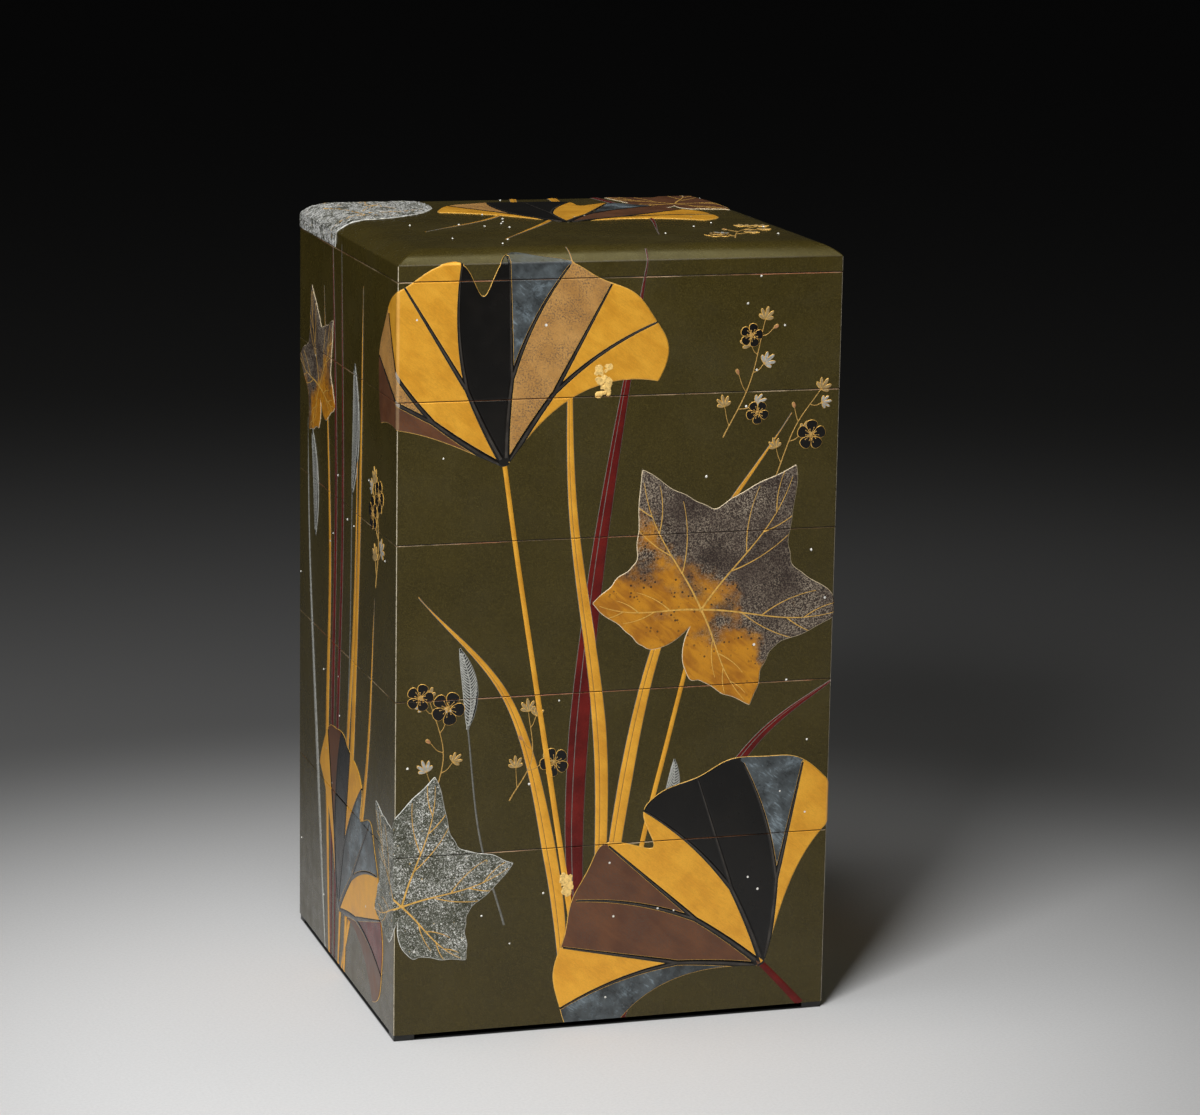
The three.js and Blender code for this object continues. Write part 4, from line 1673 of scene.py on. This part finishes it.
def place_camera():
    """The camera that was fitted to the photo."""
    level_ahead = Vector((math.sin(AZIMUTH), math.cos(AZIMUTH), 0))
    ahead = level_ahead * math.cos(ELEVATION) - Vector((0, 0, math.sin(ELEVATION)))
    level = ahead.cross(Vector((0, 0, 1))).normalized()
    upright = level.cross(ahead)
    right = level * math.cos(ROLL) + upright * math.sin(ROLL)
    up = -level * math.sin(ROLL) + upright * math.cos(ROLL)
    spot = -ahead * DISTANCE + right * SHIFT_RIGHT + up * SHIFT_UP + Vector((0, 0, AIM_HEIGHT))
    data = bpy.data.cameras.new("camera")
    data.sensor_width = SENSOR
    data.lens = FOCAL_PIXELS / PHOTO_WIDTH * SENSOR
    data.clip_end = 60
    camera = add_object("camera", data)
    turn = Matrix((right, up, -ahead)).transposed().to_4x4()
    camera.matrix_world = Matrix.Translation(spot * UNIT + Vector((0, 0, FOOT_HEIGHT * MM))) @ turn
    bpy.context.scene.camera = camera


# Spots, aims and sizes of the floor and the lights, in metres
FLOOR_HALF = 14.0
LIGHT_POOL_MIDDLE = (-0.05, -0.12, 0.0)  # the middle of the floor's painted pool of light
MAIN_SPOT = (-1.05, -1.3, 1.3)
BOX_AIM = (0, -0.1, 0.17)
FILLS = {"right_fill": (1.5, 0.35, 0.75), "back_fill": (-0.35, 1.6, 0.75)}


def lay_floor():
    """A pale paper floor with a painted pool of light, which shades off to dark away from the box, and a
    painted shadow under the box.
    """
    corners = [(x * FLOOR_HALF, y * FLOOR_HALF, 0) for x, y in ((-1, -1), (1, -1), (1, 1), (-1, 1))]
    mesh = bpy.data.meshes.new("floor")
    mesh.from_pydata(corners, [], [(0, 1, 2, 3)])
    paper = Lacquer("floor_painted_light")
    # Painted light: the floor's colour goes from pale round the box to dark away from it, as a pool of light
    # falls off.
    away = paper.vector("LENGTH", paper.vector("SUBTRACT", paper.place(), LIGHT_POOL_MIDDLE), output="Value")
    fibres = paper.ease(paper.noise(1.6, 3, 0.7), 0.3, 0.7)
    near = paper.colour((0.79, 0.79, 0.79), (0.85, 0.85, 0.85), fibres)
    middle = paper.colour(near, (0.15, 0.15, 0.15), paper.ease(away, 0.18, 0.70))
    colour = paper.colour(middle, (0.035, 0.035, 0.035), paper.ease(away, 0.6, 2.2))
    x, y, _ = paper.add("ShaderNodeSeparateXYZ", {"Vector": paper.place()}).outputs
    # In front it is painted pale again, past what the camera sees, as more of the painted pool of light. The
    # box's gloss shows it, most at the right.
    in_front = paper.maths("MULTIPLY", paper.ease(y, -0.42, -0.75), paper.ease(x, 0.1, 0.55, 0.4, 1.0))
    colour = paper.colour(colour, near, in_front)
    # Painted shadow: the floor is dark under the box's footprint and shows through the gap under the feet as
    # the box's contact shadow.
    across = paper.ease(paper.maths("ABSOLUTE", x), (HALF_WIDTH - 1) * MM, HALF_WIDTH * MM, 1.0, 0.0)
    deep = paper.ease(paper.maths("ABSOLUTE", y), (HALF_DEPTH - 1) * MM, HALF_DEPTH * MM, 1.0, 0.0)
    colour = paper.colour(colour, (0.03, 0.03, 0.03), paper.maths("MULTIPLY", across, deep))
    mesh.materials.append(paper.finish(colour, 0.8))
    floor = add_object("floor", mesh)
    floor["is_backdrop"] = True
    return floor


def softbox(name, spot, aim, width, height, power, colour=(1.0, 1.0, 1.0)):
    data = bpy.data.lights.new(name, "AREA")
    data.shape = "RECTANGLE"
    data.size, data.size_y, data.energy, data.color = width, height, power, colour
    light = add_object(name, data)
    light.location = spot
    light.rotation_euler = (Vector(aim) - Vector(spot)).to_track_quat("-Z", "Y").to_euler()
    return light


def light_studio(floor):
    """Soft light from the front left, as in the photo.

    The gloss shows weaker softboxes than the ones that light the box, so nothing glares from any side. The
    front light and the two fills leave the floor out, which stays as dark as it is in the photo.
    """
    softbox("main_softbox", MAIN_SPOT, BOX_AIM, 0.7, 0.55, 28).visible_glossy = False
    softbox("gloss_softbox", MAIN_SPOT, BOX_AIM, 0.7, 0.55, 8)
    softbox("top_softbox", (-0.35, -0.2, 1.6), (0, -0.1, 0), 0.6, 0.5, 6)
    lid_gloss = softbox("lid_gloss", (0.34, -0.06, 1.56), (0, -0.11, 0.41), 0.9, 0.34, 3.2, (1.0, 0.93, 0.52))
    rim_gloss = softbox("rim_gloss", (0.24, -0.72, 1.5), (0, -0.11, 0.25), 0.5, 0.3, 4, (1.0, 0.95, 0.86))
    lid_gloss.visible_diffuse = rim_gloss.visible_diffuse = False
    box_only = bpy.data.collections.new("floor_left_out")
    box_only.objects.link(floor)
    box_only.collection_objects[0].light_linking.link_state = "EXCLUDE"
    front = softbox("front_softbox", (0.25, -1.05, 0.95), (0, -0.1, 0.3), 0.5, 0.5, 2.0)
    front.light_linking.receiver_collection = box_only
    for name, spot in FILLS.items():
        fill = softbox(name, spot, (0, 0, 0.2), 0.9, 0.9, 9)
        fill.visible_glossy = False
        fill.light_linking.receiver_collection = box_only
    world = bpy.data.worlds.new("studio")
    world.use_nodes = True
    world.node_tree.nodes["Background"].inputs["Color"].default_value = (0.014, 0.014, 0.014, 1)
    bpy.context.scene.world = world
    bpy.context.scene.view_settings.view_transform = "Standard"


place_camera()
light_studio(lay_floor())

[[list(map(float, c)) for c in b] for b in (cad_box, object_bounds())]
